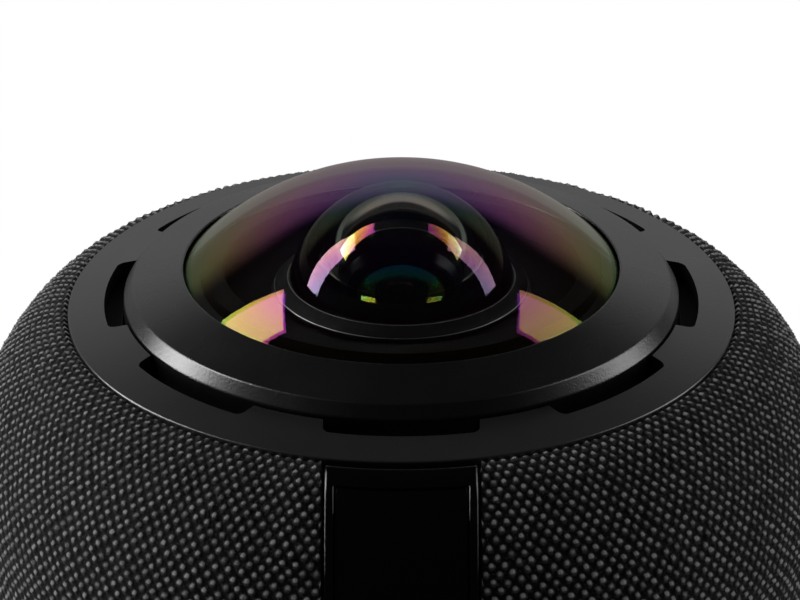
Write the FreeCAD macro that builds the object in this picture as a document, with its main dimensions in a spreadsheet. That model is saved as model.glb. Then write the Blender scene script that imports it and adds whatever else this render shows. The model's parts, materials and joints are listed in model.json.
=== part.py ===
import FreeCAD, Part
import os
from math import cos, hypot, radians, sin, sqrt, tan

import Sketcher

# A panoramic conference camera that stands on a table: a fisheye lens under a clear dome on top, eight
# microphones round it, three loudspeakers in a woven body, and a control strip on the front.
# Millimetres, +Z up, origin at the middle of the foot's underside, control strip towards -Y.

os.makedirs("parts", exist_ok=True)
doc = FreeCAD.newDocument("ConferenceCamera")
sheet = doc.addObject("Spreadsheet::Sheet", "Sizes")

# Driving sizes
SIZES = {
    # Body outline
    "rim_height": 205.4,
    "body_radius": 55.5,
    "shoulder_drop": 23.2,
    "shoulder_low_radius": 28.4,
    "shoulder_high_radius": 11.7,
    "shoulder_turn": 46.0,
    "side_lean": 2.4,
    "fabric_foot_height": 12.0,
    "fabric_thickness": 0.9,
    "fabric_glue": 0.1,
    "fabric_edge_gap": 0.35,
    "tool_margin": 5.0,
    "shell_wall": 2.2,
    "shell_flange_bore": 40.2,
    "shell_flange_thickness": 2.2,
    # Top plate
    "plate_radius": 42.0,
    "plate_bore": 35.2,
    "plate_rise": 1.35,
    "plate_thickness": 1.6,
    "plate_seat_gap": 0.15,
    "notch_count": 8.0,
    "notch_reach": 37.4,
    "notch_width": 18.44,
    "notch_corner": 1.1,
    "plate_edge_round": 0.25,
    # Bezel, heights above the plate's rim
    "bezel_mouth": 26.78,
    "bezel_mouth_rise": 5.61,
    "bezel_shoulder": 33.79,
    "bezel_shoulder_rise": 3.25,
    "bezel_radius": 34.93,
    "bezel_edge_rise": 1.72,
    "bezel_wall": 1.33,
    "bezel_roof": 1.2,
    "bezel_web": 1.85,
    "bezel_lip": 0.5,
    "bezel_skirt_drop": 3.0,
    "bezel_mouth_round": 0.2,
    "bezel_edge_round": 0.35,
    # Clear dome
    "dome_radius": 38.5,
    "dome_top_rise": 16.3,
    "dome_thickness": 1.2,
    "dome_foot_rise": 3.6,
    "dome_gap": 0.16,
    "seal_thickness": 0.8,
    "seal_bore": 24.9,
    "seal_radius": 28.55,
    # Lens housing, the black well under the dome
    "well_radius": 22.0,
    "well_lip_rise": 5.1,
    "well_floor_rise": 2.0,
    "well_edge_round": 0.25,
    "housing_gap": 0.2,
    "housing_drop": 4.0,
    "housing_neck_radius": 18.5,
    "housing_neck_drop": 12.0,
    # Front element and its ring
    "element_radius": 14.2,
    "element_ball": 14.45,
    "element_top_rise": 14.75,
    "element_seat_rise": 1.5,
    "element_hollow_ball": 12.2,
    "element_thickness": 2.0,
    "ring_radius": 15.9,
    "ring_top_rise": 3.7,
    "ring_edge_rise": 2.6,
    "ring_foot_rise": 2.1,
    "lens_fit": 0.05,
    # Barrel, depths below the plate's rim
    "barrel_cup_radius": 14.9,
    "barrel_cup_rise": 2.5,
    "barrel_flange_radius": 16.2,
    "barrel_flange_rise": 1.9,
    "barrel_flange_drop": 1.0,
    "barrel_body_radius": 14.4,
    "barrel_body_drop": 11.0,
    "barrel_tail_radius": 10.0,
    "barrel_foot_radius": 12.0,
    "barrel_foot_thickness": 2.0,
    "second_radius": 8.4,
    "second_ball": 16.0,
    "second_top_drop": 0.3,
    "second_edge": 2.6,
    "second_hollow": 3.4,
    "second_seat_bore": 5.8,
    "second_throat": 9.4,
    "third_radius": 5.0,
    "third_top_drop": 5.6,
    "third_edge": 2.4,
    "third_ball": 8.0,
    "lens_land": 0.6,
    "lens_seat": 0.5,
    "stop_drop": 10.6,
    "stop_radius": 6.5,
    "stop_hole": 1.0,
    "stop_thickness": 0.4,
    "rear_top_drop": 13.0,
    "rear_edge": 3.4,
    "rear_ball": 13.0,
    "barrel_foot_bore": 7.5,
    # Image sensor and its board
    "sensor_board_drop": 26.0,
    "sensor_board_side": 30.0,
    "board_thickness": 1.2,
    "sensor_length": 10.0,
    "sensor_width": 9.0,
    "sensor_thickness": 1.5,
    "filter_side": 8.0,
    "filter_thickness": 0.5,
    "sink_side": 26.0,
    "sink_base": 1.5,
    "sink_depth": 5.5,
    "fin_thickness": 1.2,
    "fin_count": 6.0,
    # Microphones
    "microphone_count": 8.0,
    "mesh_thickness": 0.4,
    "microphone_ring_gap": 0.2,
    "microphone_board_thickness": 1.0,
    "microphone_radius": 37.0,
    "microphone_port": 0.5,
    "microphone_length": 3.4,
    "microphone_width": 2.7,
    "microphone_height": 1.0,
    # Upper frame
    "frame_ring_bore": 27.5,
    "frame_ring_drop": 8.0,
    "frame_lip_bore": 38.9,
    "leg_root": 2.0,
    "leg_count": 3.0,
    "leg_inner": 37.4,
    "leg_outer": 42.6,
    "leg_width": 10.0,
    # Loudspeaker box and its lid
    "box_apothem": 36.0,
    "box_gap": 2.0,
    "box_floor_height": 44.0,
    "box_top_drop": 59.4,
    "box_wall": 2.4,
    "box_floor": 2.5,
    "deck_thickness": 2.5,
    "deck_rim_depth": 3.0,
    "deck_fit": 0.1,
    # Loudspeakers, depths behind the box's face
    "speaker_side": 45.0,
    "speaker_corner": 4.0,
    "speaker_flange": 2.0,
    "speaker_mouth": 20.4,
    "basket_hole_radius": 21.4,
    "basket_fit": 0.2,
    "basket_wall": 1.2,
    "basket_depth": 14.5,
    "basket_neck": 13.6,
    "basket_bore": 9.0,
    "basket_back": 1.5,
    "basket_window_count": 4.0,
    "basket_window_width": 11.0,
    "basket_window_near": 2.6,
    "basket_window_far": 11.5,
    "magnet_radius": 13.5,
    "magnet_depth": 24.5,
    "magnet_gap_outer": 8.8,
    "magnet_gap_inner": 7.2,
    "magnet_gap_depth": 22.0,
    "pole_top_depth": 12.5,
    "cone_radius": 18.0,
    "cone_rim": 1.9,
    "cone_wall": 0.7,
    "coil_outer": 8.3,
    "coil_inner": 7.7,
    "coil_depth": 20.0,
    "cone_neck_depth": 9.6,
    "cap_foot_depth": 8.2,
    "cap_ball": 10.0,
    "surround_gap": 0.3,
    "surround_foot_radius": 22.0,
    "surround_thickness": 0.5,
    "speaker_screw_place": 19.4,
    # Grille slots over each loudspeaker
    "slot_width": 40.0,
    "slot_height": 3.2,
    "slot_pitch": 6.0,
    "slot_rows": 8.0,
    # Control strip
    "strip_half": 8.9,
    "strip_top_radius": 43.05,
    "strip_foot_height": 12.1,
    "strip_border": 1.05,
    "strip_head": 1.34,
    "strip_depth": 2.0,
    "strip_fit": 0.1,
    "strip_gap": 0.42,
    "strip_edge_round": 0.3,
    "panel_recess": 0.15,
    # Buttons
    "button_radius": 3.2,
    "button_fit": 0.1,
    "button_proud": 0.4,
    "button_edge_round": 0.2,
    "button_flange": 4.2,
    "button_flange_thickness": 0.8,
    "button_flange_clear": 0.5,
    "button_stem": 1.1,
    "button_travel": 0.8,
    "button_rest_gap": 0.1,
    "light_drop": 42.4,
    "button_drop": 11.0,
    "button_pitch": 12.0,
    "light_radius": 1.2,
    "light_flange": 2.2,
    # Button board
    "button_board_gap": 0.7,
    "button_board_width": 15.0,
    "button_board_foot": 15.0,
    "button_board_head": 8.0,
    "switch_side": 4.4,
    "switch_height": 1.5,
    "plunger_radius": 0.9,
    "plunger_height": 0.6,
    "boss_radius": 1.6,
    "boss_spread": 4.6,
    "boss_inset": 3.0,
    # Main board
    "standoff_height": 6.0,
    "standoff_radius": 2.4,
    "standoff_place": 21.0,
    "main_board_radius": 34.0,
    "main_board_thickness": 1.6,
    "processor_side": 17.0,
    "processor_thickness": 1.8,
    "main_sink_side": 32.0,
    "main_sink_base": 2.0,
    "main_sink_depth": 9.0,
    "ribbon_width": 10.0,
    "ribbon_thickness": 0.3,
    "ribbon_reach": 21.0,
    "ribbon_plug": 1.2,
    "ribbon_gap": 0.4,
    # Base
    "foot_height": 2.0,
    "foot_inset": 4.9,
    "foot_width": 6.5,
    "base_step": 0.49,
    "base_taper": 1.3,
    "base_chamfer": 1.0,
    "cover_inset": 4.1,
    "cover_thickness": 2.5,
    "cover_fit": 0.1,
    "base_wall": 6.5,
    "deck_low_height": 14.5,
    "deck_high_height": 17.0,
    "base_spigot_fit": 0.3,
    "base_cable_hole": 5.0,
    "ballast_gap": 0.8,
    "ballast_bore": 9.6,
    "ballast_thickness": 7.0,
    "base_screw_inset": 8.4,
    "base_boss_radius": 3.4,
    "cover_boss_radius": 9.0,
    "cover_boss_height": 13.0,
    "insert_radius": 5.0,
    "insert_bore": 3.175,
    "insert_length": 10.0,
    # Rear connector panel
    "socket_panel_half": 22.0,
    "socket_panel_low": 18.6,
    "socket_panel_high": 38.0,
    "socket_panel_corner": 3.0,
    "socket_panel_depth": 2.6,
    "socket_panel_recess": 0.3,
    "socket_panel_fit": 0.15,
    "socket_height": 27.5,
    "socket_spread": 8.0,
    "socket_length": 9.0,
    "socket_thickness": 3.2,
    "socket_depth": 7.4,
    "socket_wall": 0.3,
    "socket_back": 0.9,
    "socket_fit": 0.25,
    "socket_mouth": 0.6,
    "tongue_length": 6.6,
    "tongue_thickness": 0.7,
    "tongue_recess": 0.8,
    "lock_length": 7.0,
    "lock_width": 3.0,
    "lock_height": 33.5,
    "socket_board_width": 28.0,
    "socket_board_depth": 22.0,
    "socket_board_gap": 0.4,
    "post_radius": 2.2,
    "post_inset": 2.6,
    # Screws
    "screw_head_radius": 2.2,
    "screw_head_height": 1.2,
    "screw_shank_radius": 1.0,
    "screw_shank_length": 5.0,
    "screw_fit": 0.1,
    "screw_sink_gap": 0.2,
    "housing_shank_length": 8.0,
    "housing_screw_place": 30.95,
    "housing_screw_count": 4.0,
    "housing_screw_turn": 22.5,
}


class Size:
    """A length, angle or count: its formula on the sheet and its present value."""

    def __init__(self, formula, value):
        self.formula = formula
        self.value = float(value)

    def __add__(self, other):
        other = as_size(other)
        return Size(f"({self.formula} + {other.formula})", self.value + other.value)

    def __sub__(self, other):
        other = as_size(other)
        return Size(f"({self.formula} - {other.formula})", self.value - other.value)

    def __mul__(self, other):
        other = as_size(other)
        return Size(f"({self.formula} * {other.formula})", self.value * other.value)

    def __truediv__(self, other):
        other = as_size(other)
        return Size(f"({self.formula} / {other.formula})", self.value / other.value)

    def __rsub__(self, other):
        return as_size(other) - self

    def __neg__(self):
        return Size(f"(0 - {self.formula})", -self.value)

    __radd__ = __add__
    __rmul__ = __mul__


def as_size(value):
    return value if isinstance(value, Size) else Size(repr(float(value)), value)


def root(size):
    return Size(f"sqrt({size.formula})", sqrt(size.value))


def sine(size):
    return Size(f"sin({size.formula})", sin(radians(size.value)))


def cosine(size):
    return Size(f"cos({size.formula})", cos(radians(size.value)))


def tangent(size):
    return Size(f"tan({size.formula})", tan(radians(size.value)))


class Sizes:
    """The sheet's sizes by name."""


for row, (name, value) in enumerate(SIZES.items(), start=1):
    sheet.set(f"A{row}", name)
    sheet.set(f"B{row}", str(value))
    sheet.setAlias(f"B{row}", name)
    setattr(Sizes, name, Size(f"Sizes.{name}", value))
doc.recompute()
z = Sizes

pieces = []
EDGE_MATCH = 1e-3

# Sketch and feature helpers


def new_body(name):
    body = doc.addObject("PartDesign::Body", name)
    body.Label = name
    pieces.append(body)
    return body


def origin_feature(body, role):
    return next(part for part in body.Origin.OriginFeatures if part.Role == role)


def new_sketch(body, name, role="XZ_Plane", offset=None):
    """A sketch on one of the body's own origin planes, lifted off it by offset."""
    sketch = body.newObject("Sketcher::SketchObject", name)
    sketch.AttachmentSupport = (origin_feature(body, role), [""])
    sketch.MapMode = "FlatFace"
    if offset is not None:
        sketch.setExpression("AttachmentOffset.Base.z", as_size(offset).formula)
    return sketch


def tie(sketch, kind, geometry, point, size):
    """Hold one coordinate of a point to a formula of the sheet."""
    size = as_size(size)
    if abs(size.value) < 1e-9:
        axis = -2 if kind == "DistanceX" else -1
        sketch.addConstraint(Sketcher.Constraint("PointOnObject", geometry, point, axis))
        return
    if size.value > 0:
        constraint = Sketcher.Constraint(kind, -1, 1, geometry, point, size.value)
        formula = size.formula
    else:
        constraint = Sketcher.Constraint(kind, geometry, point, -1, 1, -size.value)
        formula = (-size).formula
    index = sketch.addConstraint(constraint)
    sketch.setExpression(f"Constraints[{index}]", formula)


def outline(sketch, corners, arcs=None):
    """A closed outline. A corner is (across, up), or (across, up, "x" or "y") to tie only one of the two
    where an arc sets the other. arcs gives the centre of each curved side by its first corner's number."""
    arcs = arcs or {}
    count = len(corners)
    across = [as_size(corner[0]).value for corner in corners]
    up = [as_size(corner[1]).value for corner in corners]
    sides = []
    for i in range(count):
        j = (i + 1) % count
        start = FreeCAD.Vector(across[i], up[i], 0)
        end = FreeCAD.Vector(across[j], up[j], 0)
        if i not in arcs:
            geometry = sketch.addGeometry(Part.LineSegment(start, end), False)
            sides.append((geometry, 1, 2))
            continue
        centre = FreeCAD.Vector(as_size(arcs[i][0]).value, as_size(arcs[i][1]).value, 0)
        spoke, last = start - centre, end - centre
        circle = Part.Circle(centre, FreeCAD.Vector(0, 0, 1), spoke.Length)
        turns_left = spoke.cross(last).z > 0
        first_angle = circle.parameter(start if turns_left else end)
        last_angle = circle.parameter(end if turns_left else start)
        geometry = sketch.addGeometry(Part.ArcOfCircle(circle, first_angle, last_angle), False)
        sides.append((geometry, 1, 2) if turns_left else (geometry, 2, 1))
        tie(sketch, "DistanceX", geometry, 3, arcs[i][0])
        tie(sketch, "DistanceY", geometry, 3, arcs[i][1])
    for i, (geometry, _, end_point) in enumerate(sides):
        next_geometry, next_point, _ = sides[(i + 1) % count]
        meeting = Sketcher.Constraint("Coincident", geometry, end_point, next_geometry, next_point)
        sketch.addConstraint(meeting)
    for i, corner in enumerate(corners):
        tied = corner[2] if len(corner) > 2 else "xy"
        geometry, start_point, _ = sides[i]
        if "x" in tied:
            tie(sketch, "DistanceX", geometry, start_point, corner[0])
        if "y" in tied:
            tie(sketch, "DistanceY", geometry, start_point, corner[1])


def circle(sketch, across, up, radius):
    centre = FreeCAD.Vector(as_size(across).value, as_size(up).value, 0)
    shape = Part.Circle(centre, FreeCAD.Vector(0, 0, 1), as_size(radius).value)
    geometry = sketch.addGeometry(shape, False)
    tie(sketch, "DistanceX", geometry, 3, across)
    tie(sketch, "DistanceY", geometry, 3, up)
    index = sketch.addConstraint(Sketcher.Constraint("Radius", geometry, as_size(radius).value))
    sketch.setExpression(f"Constraints[{index}]", as_size(radius).formula)


def rectangle(sketch, left, right, low, high):
    outline(sketch, [(left, low), (right, low), (right, high), (left, high)])


def rounded_rectangle(sketch, half_across, low, high, corner):
    """A rectangle about the vertical axis, with quarter-round corners."""
    inner, floor, ceiling = half_across - corner, low + corner, high - corner
    corners = [
        (-inner, low, "x"),
        (inner, low),
        (half_across, floor, "y"),
        (half_across, ceiling),
        (inner, high, "x"),
        (-inner, high),
        (-half_across, ceiling, "y"),
        (-half_across, floor),
    ]
    arcs = {1: (inner, floor), 3: (inner, ceiling), 5: (-inner, ceiling), 7: (-inner, floor)}
    outline(sketch, corners, arcs)


def revolve(body, sketch, name):
    feature = body.newObject("PartDesign::Revolution", name)
    feature.Profile = sketch
    feature.ReferenceAxis = (sketch, ["V_Axis"])
    feature.Angle = 360
    return feature


def pad(body, sketch, name, length, reverse=False):
    feature = body.newObject("PartDesign::Pad", name)
    feature.Profile = sketch
    feature.setExpression("Length", as_size(length).formula)
    feature.Reversed = reverse
    return feature


def pocket(body, sketch, name, depth=None, reverse=False):
    """A cut of the given depth, or through all the body on both sides of the sketch."""
    doc.recompute()
    feature = body.newObject("PartDesign::Pocket", name)
    feature.Profile = sketch
    if depth is None:
        feature.Type = "ThroughAll"
        feature.Midplane = True
    else:
        feature.setExpression("Length", as_size(depth).formula)
        feature.Reversed = reverse
    return feature


def round_pattern(body, feature, name, count):
    """Copies of a feature, evenly round the vertical axis."""
    pattern = body.newObject("PartDesign::PolarPattern", name)
    pattern.Originals = feature if isinstance(feature, list) else [feature]
    pattern.Axis = (origin_feature(body, "Z_Axis"), [""])
    pattern.Angle = 360
    pattern.setExpression("Occurrences", as_size(count).formula)
    body.Tip = pattern
    return pattern


def soften(body, name, radius, wanted):
    """Rounds the edges of the body that are wanted."""
    doc.recompute()
    base = body.Tip
    edges = [f"Edge{i}" for i, edge in enumerate(base.Shape.Edges, start=1) if wanted(edge)]
    if not edges:
        raise RuntimeError(f"{name} finds no edge")
    fillet = body.newObject("PartDesign::Fillet", name)
    fillet.Base = (base, edges)
    fillet.setExpression("Radius", radius.formula)


def ring_edge(radius, height):
    """Picks the level round edge of a radius at a height."""

    def wanted(edge):
        curve = edge.Curve
        if not isinstance(curve, Part.Circle):
            return False
        return abs(curve.Radius - radius.value) < EDGE_MATCH and abs(curve.Center.z - height.value) < EDGE_MATCH

    return wanted


def turned_piece(name, corners, arcs=None):
    """A piece made on a lathe: an outline of (radius, height) corners turned about the vertical axis."""
    body = new_body(name)
    sketch = new_sketch(body, f"{name}_section")
    outline(sketch, corners, arcs)
    revolve(body, sketch, f"{name}_turn")
    return body


def slab(body, name, left, right, front, back, low, thickness):
    """A block standing on the height low, as a feature of the body."""
    sketch = new_sketch(body, f"{name}_plan", "XY_Plane", low)
    rectangle(sketch, left, right, front, back)
    return pad(body, sketch, name, thickness)


def disc(body, name, places, radius, low, thickness):
    """Upright round blocks at the given (across, back) places, as one feature of the body."""
    sketch = new_sketch(body, f"{name}_plan", "XY_Plane", low)
    for across, back in places:
        circle(sketch, across, back, radius)
    return pad(body, sketch, name, thickness)


def round_holes(body, name, places, radius, height):
    """Upright round holes through all the body, sketched at the given height."""
    sketch = new_sketch(body, f"{name}_plan", "XY_Plane", height)
    for across, back in places:
        circle(sketch, across, back, radius)
    return pocket(body, sketch, name)


def place(body, across, back, height, turn=None):
    """Put a body that is drawn about its own origin at a place of the whole camera."""
    if turn is not None:
        body.Placement.Rotation = turn
    for axis, size in zip("xyz", (across, back, height)):
        body.setExpression(f"Placement.Base.{axis}", as_size(size).formula)


# Body outline: a leaning flank and two tangent arcs over the shoulder. depth is how far inside the
# fabric's face an outline runs.

belly_height = z.rim_height - z.shoulder_drop
low_centre = (z.body_radius - z.shoulder_low_radius, belly_height)
centre_step = z.shoulder_low_radius - z.shoulder_high_radius
high_centre = (
    low_centre[0] + centre_step * cosine(z.shoulder_turn),
    low_centre[1] + centre_step * sine(z.shoulder_turn),
)


def flank_top(depth):
    reach = z.shoulder_low_radius - depth
    return (low_centre[0] + reach * cosine(z.side_lean), low_centre[1] - reach * sine(z.side_lean))


def flank_radius(height, depth):
    top = flank_top(depth)
    return top[0] - (top[1] - height) * tangent(z.side_lean)


def shoulder_joint(depth):
    reach = z.shoulder_low_radius - depth
    return (low_centre[0] + reach * cosine(z.shoulder_turn), low_centre[1] + reach * sine(z.shoulder_turn))


def shoulder_height(radius, depth):
    """Height of the upper arc at a radius."""
    reach = z.shoulder_high_radius - depth
    across = radius - high_centre[0]
    return high_centre[1] + root(reach * reach - across * across)


def shoulder_radius(height, depth):
    """Radius of the upper arc at a height."""
    reach = z.shoulder_high_radius - depth
    rise = height - high_centre[1]
    return high_centre[0] + root(reach * reach - rise * rise)


def shell_depth():
    return z.fabric_thickness + z.fabric_glue


def shell_inside():
    return shell_depth() + z.shell_wall


# Places that follow the outline and the rim

box_top_height = z.rim_height - z.box_top_drop
box_corner_radius = flank_radius(z.box_floor_height, shell_inside()) - z.box_gap
speaker_height = (z.box_floor_height + box_top_height) / 2
light_height = z.rim_height - z.light_drop
volume_up_height = light_height - z.button_drop
volume_down_height = volume_up_height - z.button_pitch
mute_height = volume_down_height - z.button_pitch
button_board_low = mute_height - z.button_board_foot
button_board_high = light_height + z.button_board_head
button_board_face = box_corner_radius + z.board_thickness + z.button_board_gap
base_radius = flank_radius(z.fabric_foot_height, as_size(0)) - z.base_step
base_low_radius = base_radius - z.base_taper
base_spigot_radius = flank_radius(z.fabric_foot_height, shell_inside()) - z.base_spigot_fit
base_wall_bore = base_radius - z.base_wall
base_screw_place = base_wall_bore - z.base_screw_inset
ballast_radius = base_wall_bore - z.ballast_gap
cover_radius = base_radius - z.cover_inset
foot_outer = base_radius - z.foot_inset
foot_inner = foot_outer - z.foot_width


def layer_outline(sketch, outer_depth, inner_depth, foot, top_radius):
    """Section of a layer of the body between two depths, from a foot height to a radius on the shoulder."""
    corners = [
        (flank_radius(foot, outer_depth), foot),
        flank_top(outer_depth),
        (*shoulder_joint(outer_depth), "y"),
        (top_radius, shoulder_height(top_radius, outer_depth), "x"),
        (top_radius, shoulder_height(top_radius, inner_depth), "x"),
        (*shoulder_joint(inner_depth), "y"),
        flank_top(inner_depth),
        (flank_radius(foot, inner_depth), foot),
    ]
    outline(sketch, corners, {1: low_centre, 2: high_centre, 4: high_centre, 5: low_centre})


def body_layer(name, outer_depth, inner_depth, foot, top_radius):
    """A turned layer of the body."""
    body = new_body(name)
    sketch = new_sketch(body, f"{name}_section")
    layer_outline(sketch, outer_depth, inner_depth, foot, top_radius)
    revolve(body, sketch, f"{name}_turn")
    return body


def keep_inside(body, name, left, right, front, back):
    """Trim a body to an upright rectangular prism."""
    far = z.body_radius * 2
    sketch = new_sketch(body, f"{name}_plan", "XY_Plane")
    rectangle(sketch, -far, far, -far, far)
    rectangle(sketch, left, right, front, back)
    return pocket(body, sketch, name)


def front_hole(body, name, half_across, low, high):
    """A rectangular hole through the front wall."""
    sketch = new_sketch(body, f"{name}_plan", "XZ_Plane")
    rectangle(sketch, -half_across, half_across, low, high)
    return pocket(body, sketch, name, z.body_radius * 2, reverse=True)


def front_rounds(body, name, heights, radius):
    """Round holes through the front wall, one at each height."""
    sketch = new_sketch(body, f"{name}_plan", "XZ_Plane")
    for height in heights:
        circle(sketch, 0, height, radius)
    return pocket(body, sketch, name, z.body_radius * 2, reverse=True)


# Top plate with its sound notches


def make_top_plate():
    seat = z.rim_height - z.plate_thickness
    body = turned_piece(
        "top_plate",
        [
            (z.plate_bore, seat),
            (z.plate_radius, seat),
            (z.plate_radius, z.rim_height),
            (z.plate_bore, z.rim_height + z.plate_rise),
        ],
    )
    half = z.notch_width / 2
    corner = z.notch_corner
    inner = z.plate_bore - z.plate_rise
    # The corners are round where the notch's sides meet its outer wall, which follows the plate's rim.
    reach = z.notch_reach - corner
    spread = half - corner
    low = root(reach * reach - spread * spread)
    tangent_across = spread * z.notch_reach / reach
    tangent_low = low * z.notch_reach / reach
    sketch = new_sketch(body, "notch_plan", "XY_Plane", z.rim_height)
    corners = [
        (half, -inner),
        (-half, -inner),
        (-half, -low),
        (-tangent_across, -tangent_low, "x"),
        (tangent_across, -tangent_low, "x"),
        (half, -low, "y"),
    ]
    arcs = {2: (-spread, -low), 3: (0, 0), 4: (spread, -low)}
    outline(sketch, corners, arcs)
    notch = pocket(body, sketch, "notch")
    round_pattern(body, notch, "notches", z.notch_count)
    soften(body, "plate_edge", z.plate_edge_round, ring_edge(z.plate_radius, z.rim_height))


# Bezel, dome and housing

dome_centre = z.rim_height + z.dome_top_rise - z.dome_radius


def ball_radius(ball, centre, height):
    """Radius of a ball's slice at a height."""
    rise = height - centre
    return root(ball * ball - rise * rise)


def bezel_top(radius):
    """Rise of the bezel's upper face over the rim at a radius."""
    fall = (z.bezel_mouth_rise - z.bezel_shoulder_rise) / (z.bezel_shoulder - z.bezel_mouth)
    return z.bezel_mouth_rise - (radius - z.bezel_mouth) * fall


def make_bezel():
    rim = z.rim_height
    skirt_bore = z.bezel_radius - z.bezel_wall
    pocket_radius = z.seal_radius + z.housing_gap
    lip_height = rim + z.bezel_mouth_rise - z.bezel_lip
    body = turned_piece(
        "lens_bezel",
        [
            (z.bezel_mouth, rim + z.bezel_mouth_rise),
            (ball_radius(z.dome_radius, dome_centre, lip_height) + z.dome_gap, lip_height),
            (pocket_radius, rim + bezel_top(pocket_radius) - z.bezel_roof),
            (pocket_radius, rim + bezel_top(pocket_radius) - z.bezel_web),
            (skirt_bore, rim + bezel_top(skirt_bore) - z.bezel_web),
            (skirt_bore, rim - z.bezel_skirt_drop),
            (z.bezel_radius, rim - z.bezel_skirt_drop),
            (z.bezel_radius, rim + z.bezel_edge_rise),
            (z.bezel_shoulder, rim + z.bezel_shoulder_rise),
        ],
    )
    soften(body, "bezel_mouth_edge", z.bezel_mouth_round, ring_edge(z.bezel_mouth, rim + z.bezel_mouth_rise))
    soften(body, "bezel_foot_edge", z.bezel_edge_round, ring_edge(z.bezel_radius, rim + z.bezel_edge_rise))
    soften(body, "bezel_shoulder_edge", z.bezel_edge_round,
           ring_edge(z.bezel_shoulder, rim + z.bezel_shoulder_rise))


def make_dome():
    top = z.rim_height + z.dome_top_rise
    foot = z.rim_height + z.dome_foot_rise
    inner_ball = z.dome_radius - z.dome_thickness
    turned_piece(
        "lens_cover_dome",
        [
            (0, top),
            (0, top - z.dome_thickness),
            (ball_radius(inner_ball, dome_centre, foot), foot, "y"),
            (ball_radius(z.dome_radius, dome_centre, foot), foot, "y"),
        ],
        {1: (0, dome_centre), 3: (0, dome_centre)},
    )
    turned_piece(
        "dome_seal",
        [
            (z.seal_bore, foot - z.seal_thickness),
            (z.seal_radius, foot - z.seal_thickness),
            (z.seal_radius, foot),
            (z.seal_bore, foot),
        ],
    )


def make_lens_housing():
    rim = z.rim_height
    ledge = rim + z.dome_foot_rise - z.seal_thickness
    outer = z.bezel_radius - z.bezel_wall - z.housing_gap
    shoulder = rim + bezel_top(z.bezel_radius - z.bezel_wall) - z.bezel_web - z.housing_gap
    flange_bore = z.barrel_flange_radius + z.lens_fit
    neck_bore = z.barrel_body_radius + z.lens_fit
    flange_seat = rim - z.barrel_flange_drop
    lip = z.seal_bore - z.housing_gap
    body = turned_piece(
        "lens_housing",
        [
            (flange_bore, rim + z.well_floor_rise),
            (z.well_radius, rim + z.well_floor_rise),
            (z.well_radius, rim + z.well_lip_rise),
            (lip, rim + z.well_lip_rise),
            (lip, ledge),
            (z.seal_radius, ledge),
            (z.seal_radius, shoulder),
            (outer, shoulder),
            (outer, rim - z.housing_drop),
            (z.housing_neck_radius, rim - z.housing_drop),
            (z.housing_neck_radius, rim - z.housing_neck_drop),
            (neck_bore, rim - z.housing_neck_drop),
            (neck_bore, flange_seat),
            (flange_bore, flange_seat),
        ],
    )
    soften(body, "well_edge", z.well_edge_round, ring_edge(z.well_radius, rim + z.well_lip_rise))
    screw_ring(body, "housing_screw_hole", z.screw_shank_radius + z.screw_fit)
    head_seat = shoulder - z.screw_head_height - z.screw_sink_gap
    sketch = new_sketch(body, "housing_screw_sink_plan", "XY_Plane", head_seat)
    circle(sketch, *housing_screw_spot(), z.screw_head_radius + z.screw_fit)
    sink = pocket(body, sketch, "housing_screw_sink", z.tool_margin, reverse=True)
    round_pattern(body, sink, "housing_screw_sinks", z.housing_screw_count)
    screws = new_body("lens_housing_screws")
    head = disc(screws, "housing_screw_head", [housing_screw_spot()], z.screw_head_radius, head_seat,
                z.screw_head_height)
    shank = disc(screws, "housing_screw_shank", [housing_screw_spot()], z.screw_shank_radius,
                 head_seat - z.housing_shank_length, z.housing_shank_length)
    round_pattern(screws, [head, shank], "housing_screw_ring", z.housing_screw_count)


def housing_screw_spot():
    """Place of the first lens housing screw, half way between two microphones."""
    turn = z.housing_screw_turn
    return (z.housing_screw_place * cosine(turn), z.housing_screw_place * sine(turn))


def screw_ring(body, name, radius):
    """The ring of upright screw holes that the lens housing and the upper frame share."""
    hole = round_holes(body, name, [housing_screw_spot()], radius, z.rim_height)
    round_pattern(body, hole, f"{name}s", z.housing_screw_count)


# Fisheye lens


def make_front_element():
    rim = z.rim_height
    top = rim + z.element_top_rise
    centre = top - z.element_ball
    hollow_top = top - z.element_thickness
    hollow_centre = hollow_top - z.element_hollow_ball
    edge_height = centre + root(z.element_ball * z.element_ball - z.element_radius * z.element_radius)
    seat = rim + z.element_seat_rise
    turned_piece(
        "front_element",
        [
            (0, top),
            (0, hollow_top),
            (ball_radius(z.element_hollow_ball, hollow_centre, seat), seat, "y"),
            (z.element_radius, seat),
            (z.element_radius, edge_height, "x"),
        ],
        {1: (0, hollow_centre), 4: (0, centre)},
    )
    cup_bore = z.element_radius + z.lens_fit
    neck = ball_radius(z.element_ball, centre, rim + z.ring_top_rise)
    turned_piece(
        "element_retaining_ring",
        [
            (cup_bore, rim + z.barrel_cup_rise + z.lens_fit),
            (cup_bore, edge_height),
            (neck + z.lens_fit, rim + z.ring_top_rise),
            (z.ring_radius, rim + z.ring_edge_rise),
            (z.ring_radius, rim + z.ring_foot_rise),
            (z.barrel_cup_radius + z.lens_fit, rim + z.ring_foot_rise),
            (z.barrel_cup_radius + z.lens_fit, rim + z.barrel_cup_rise + z.lens_fit),
        ],
    )


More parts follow.
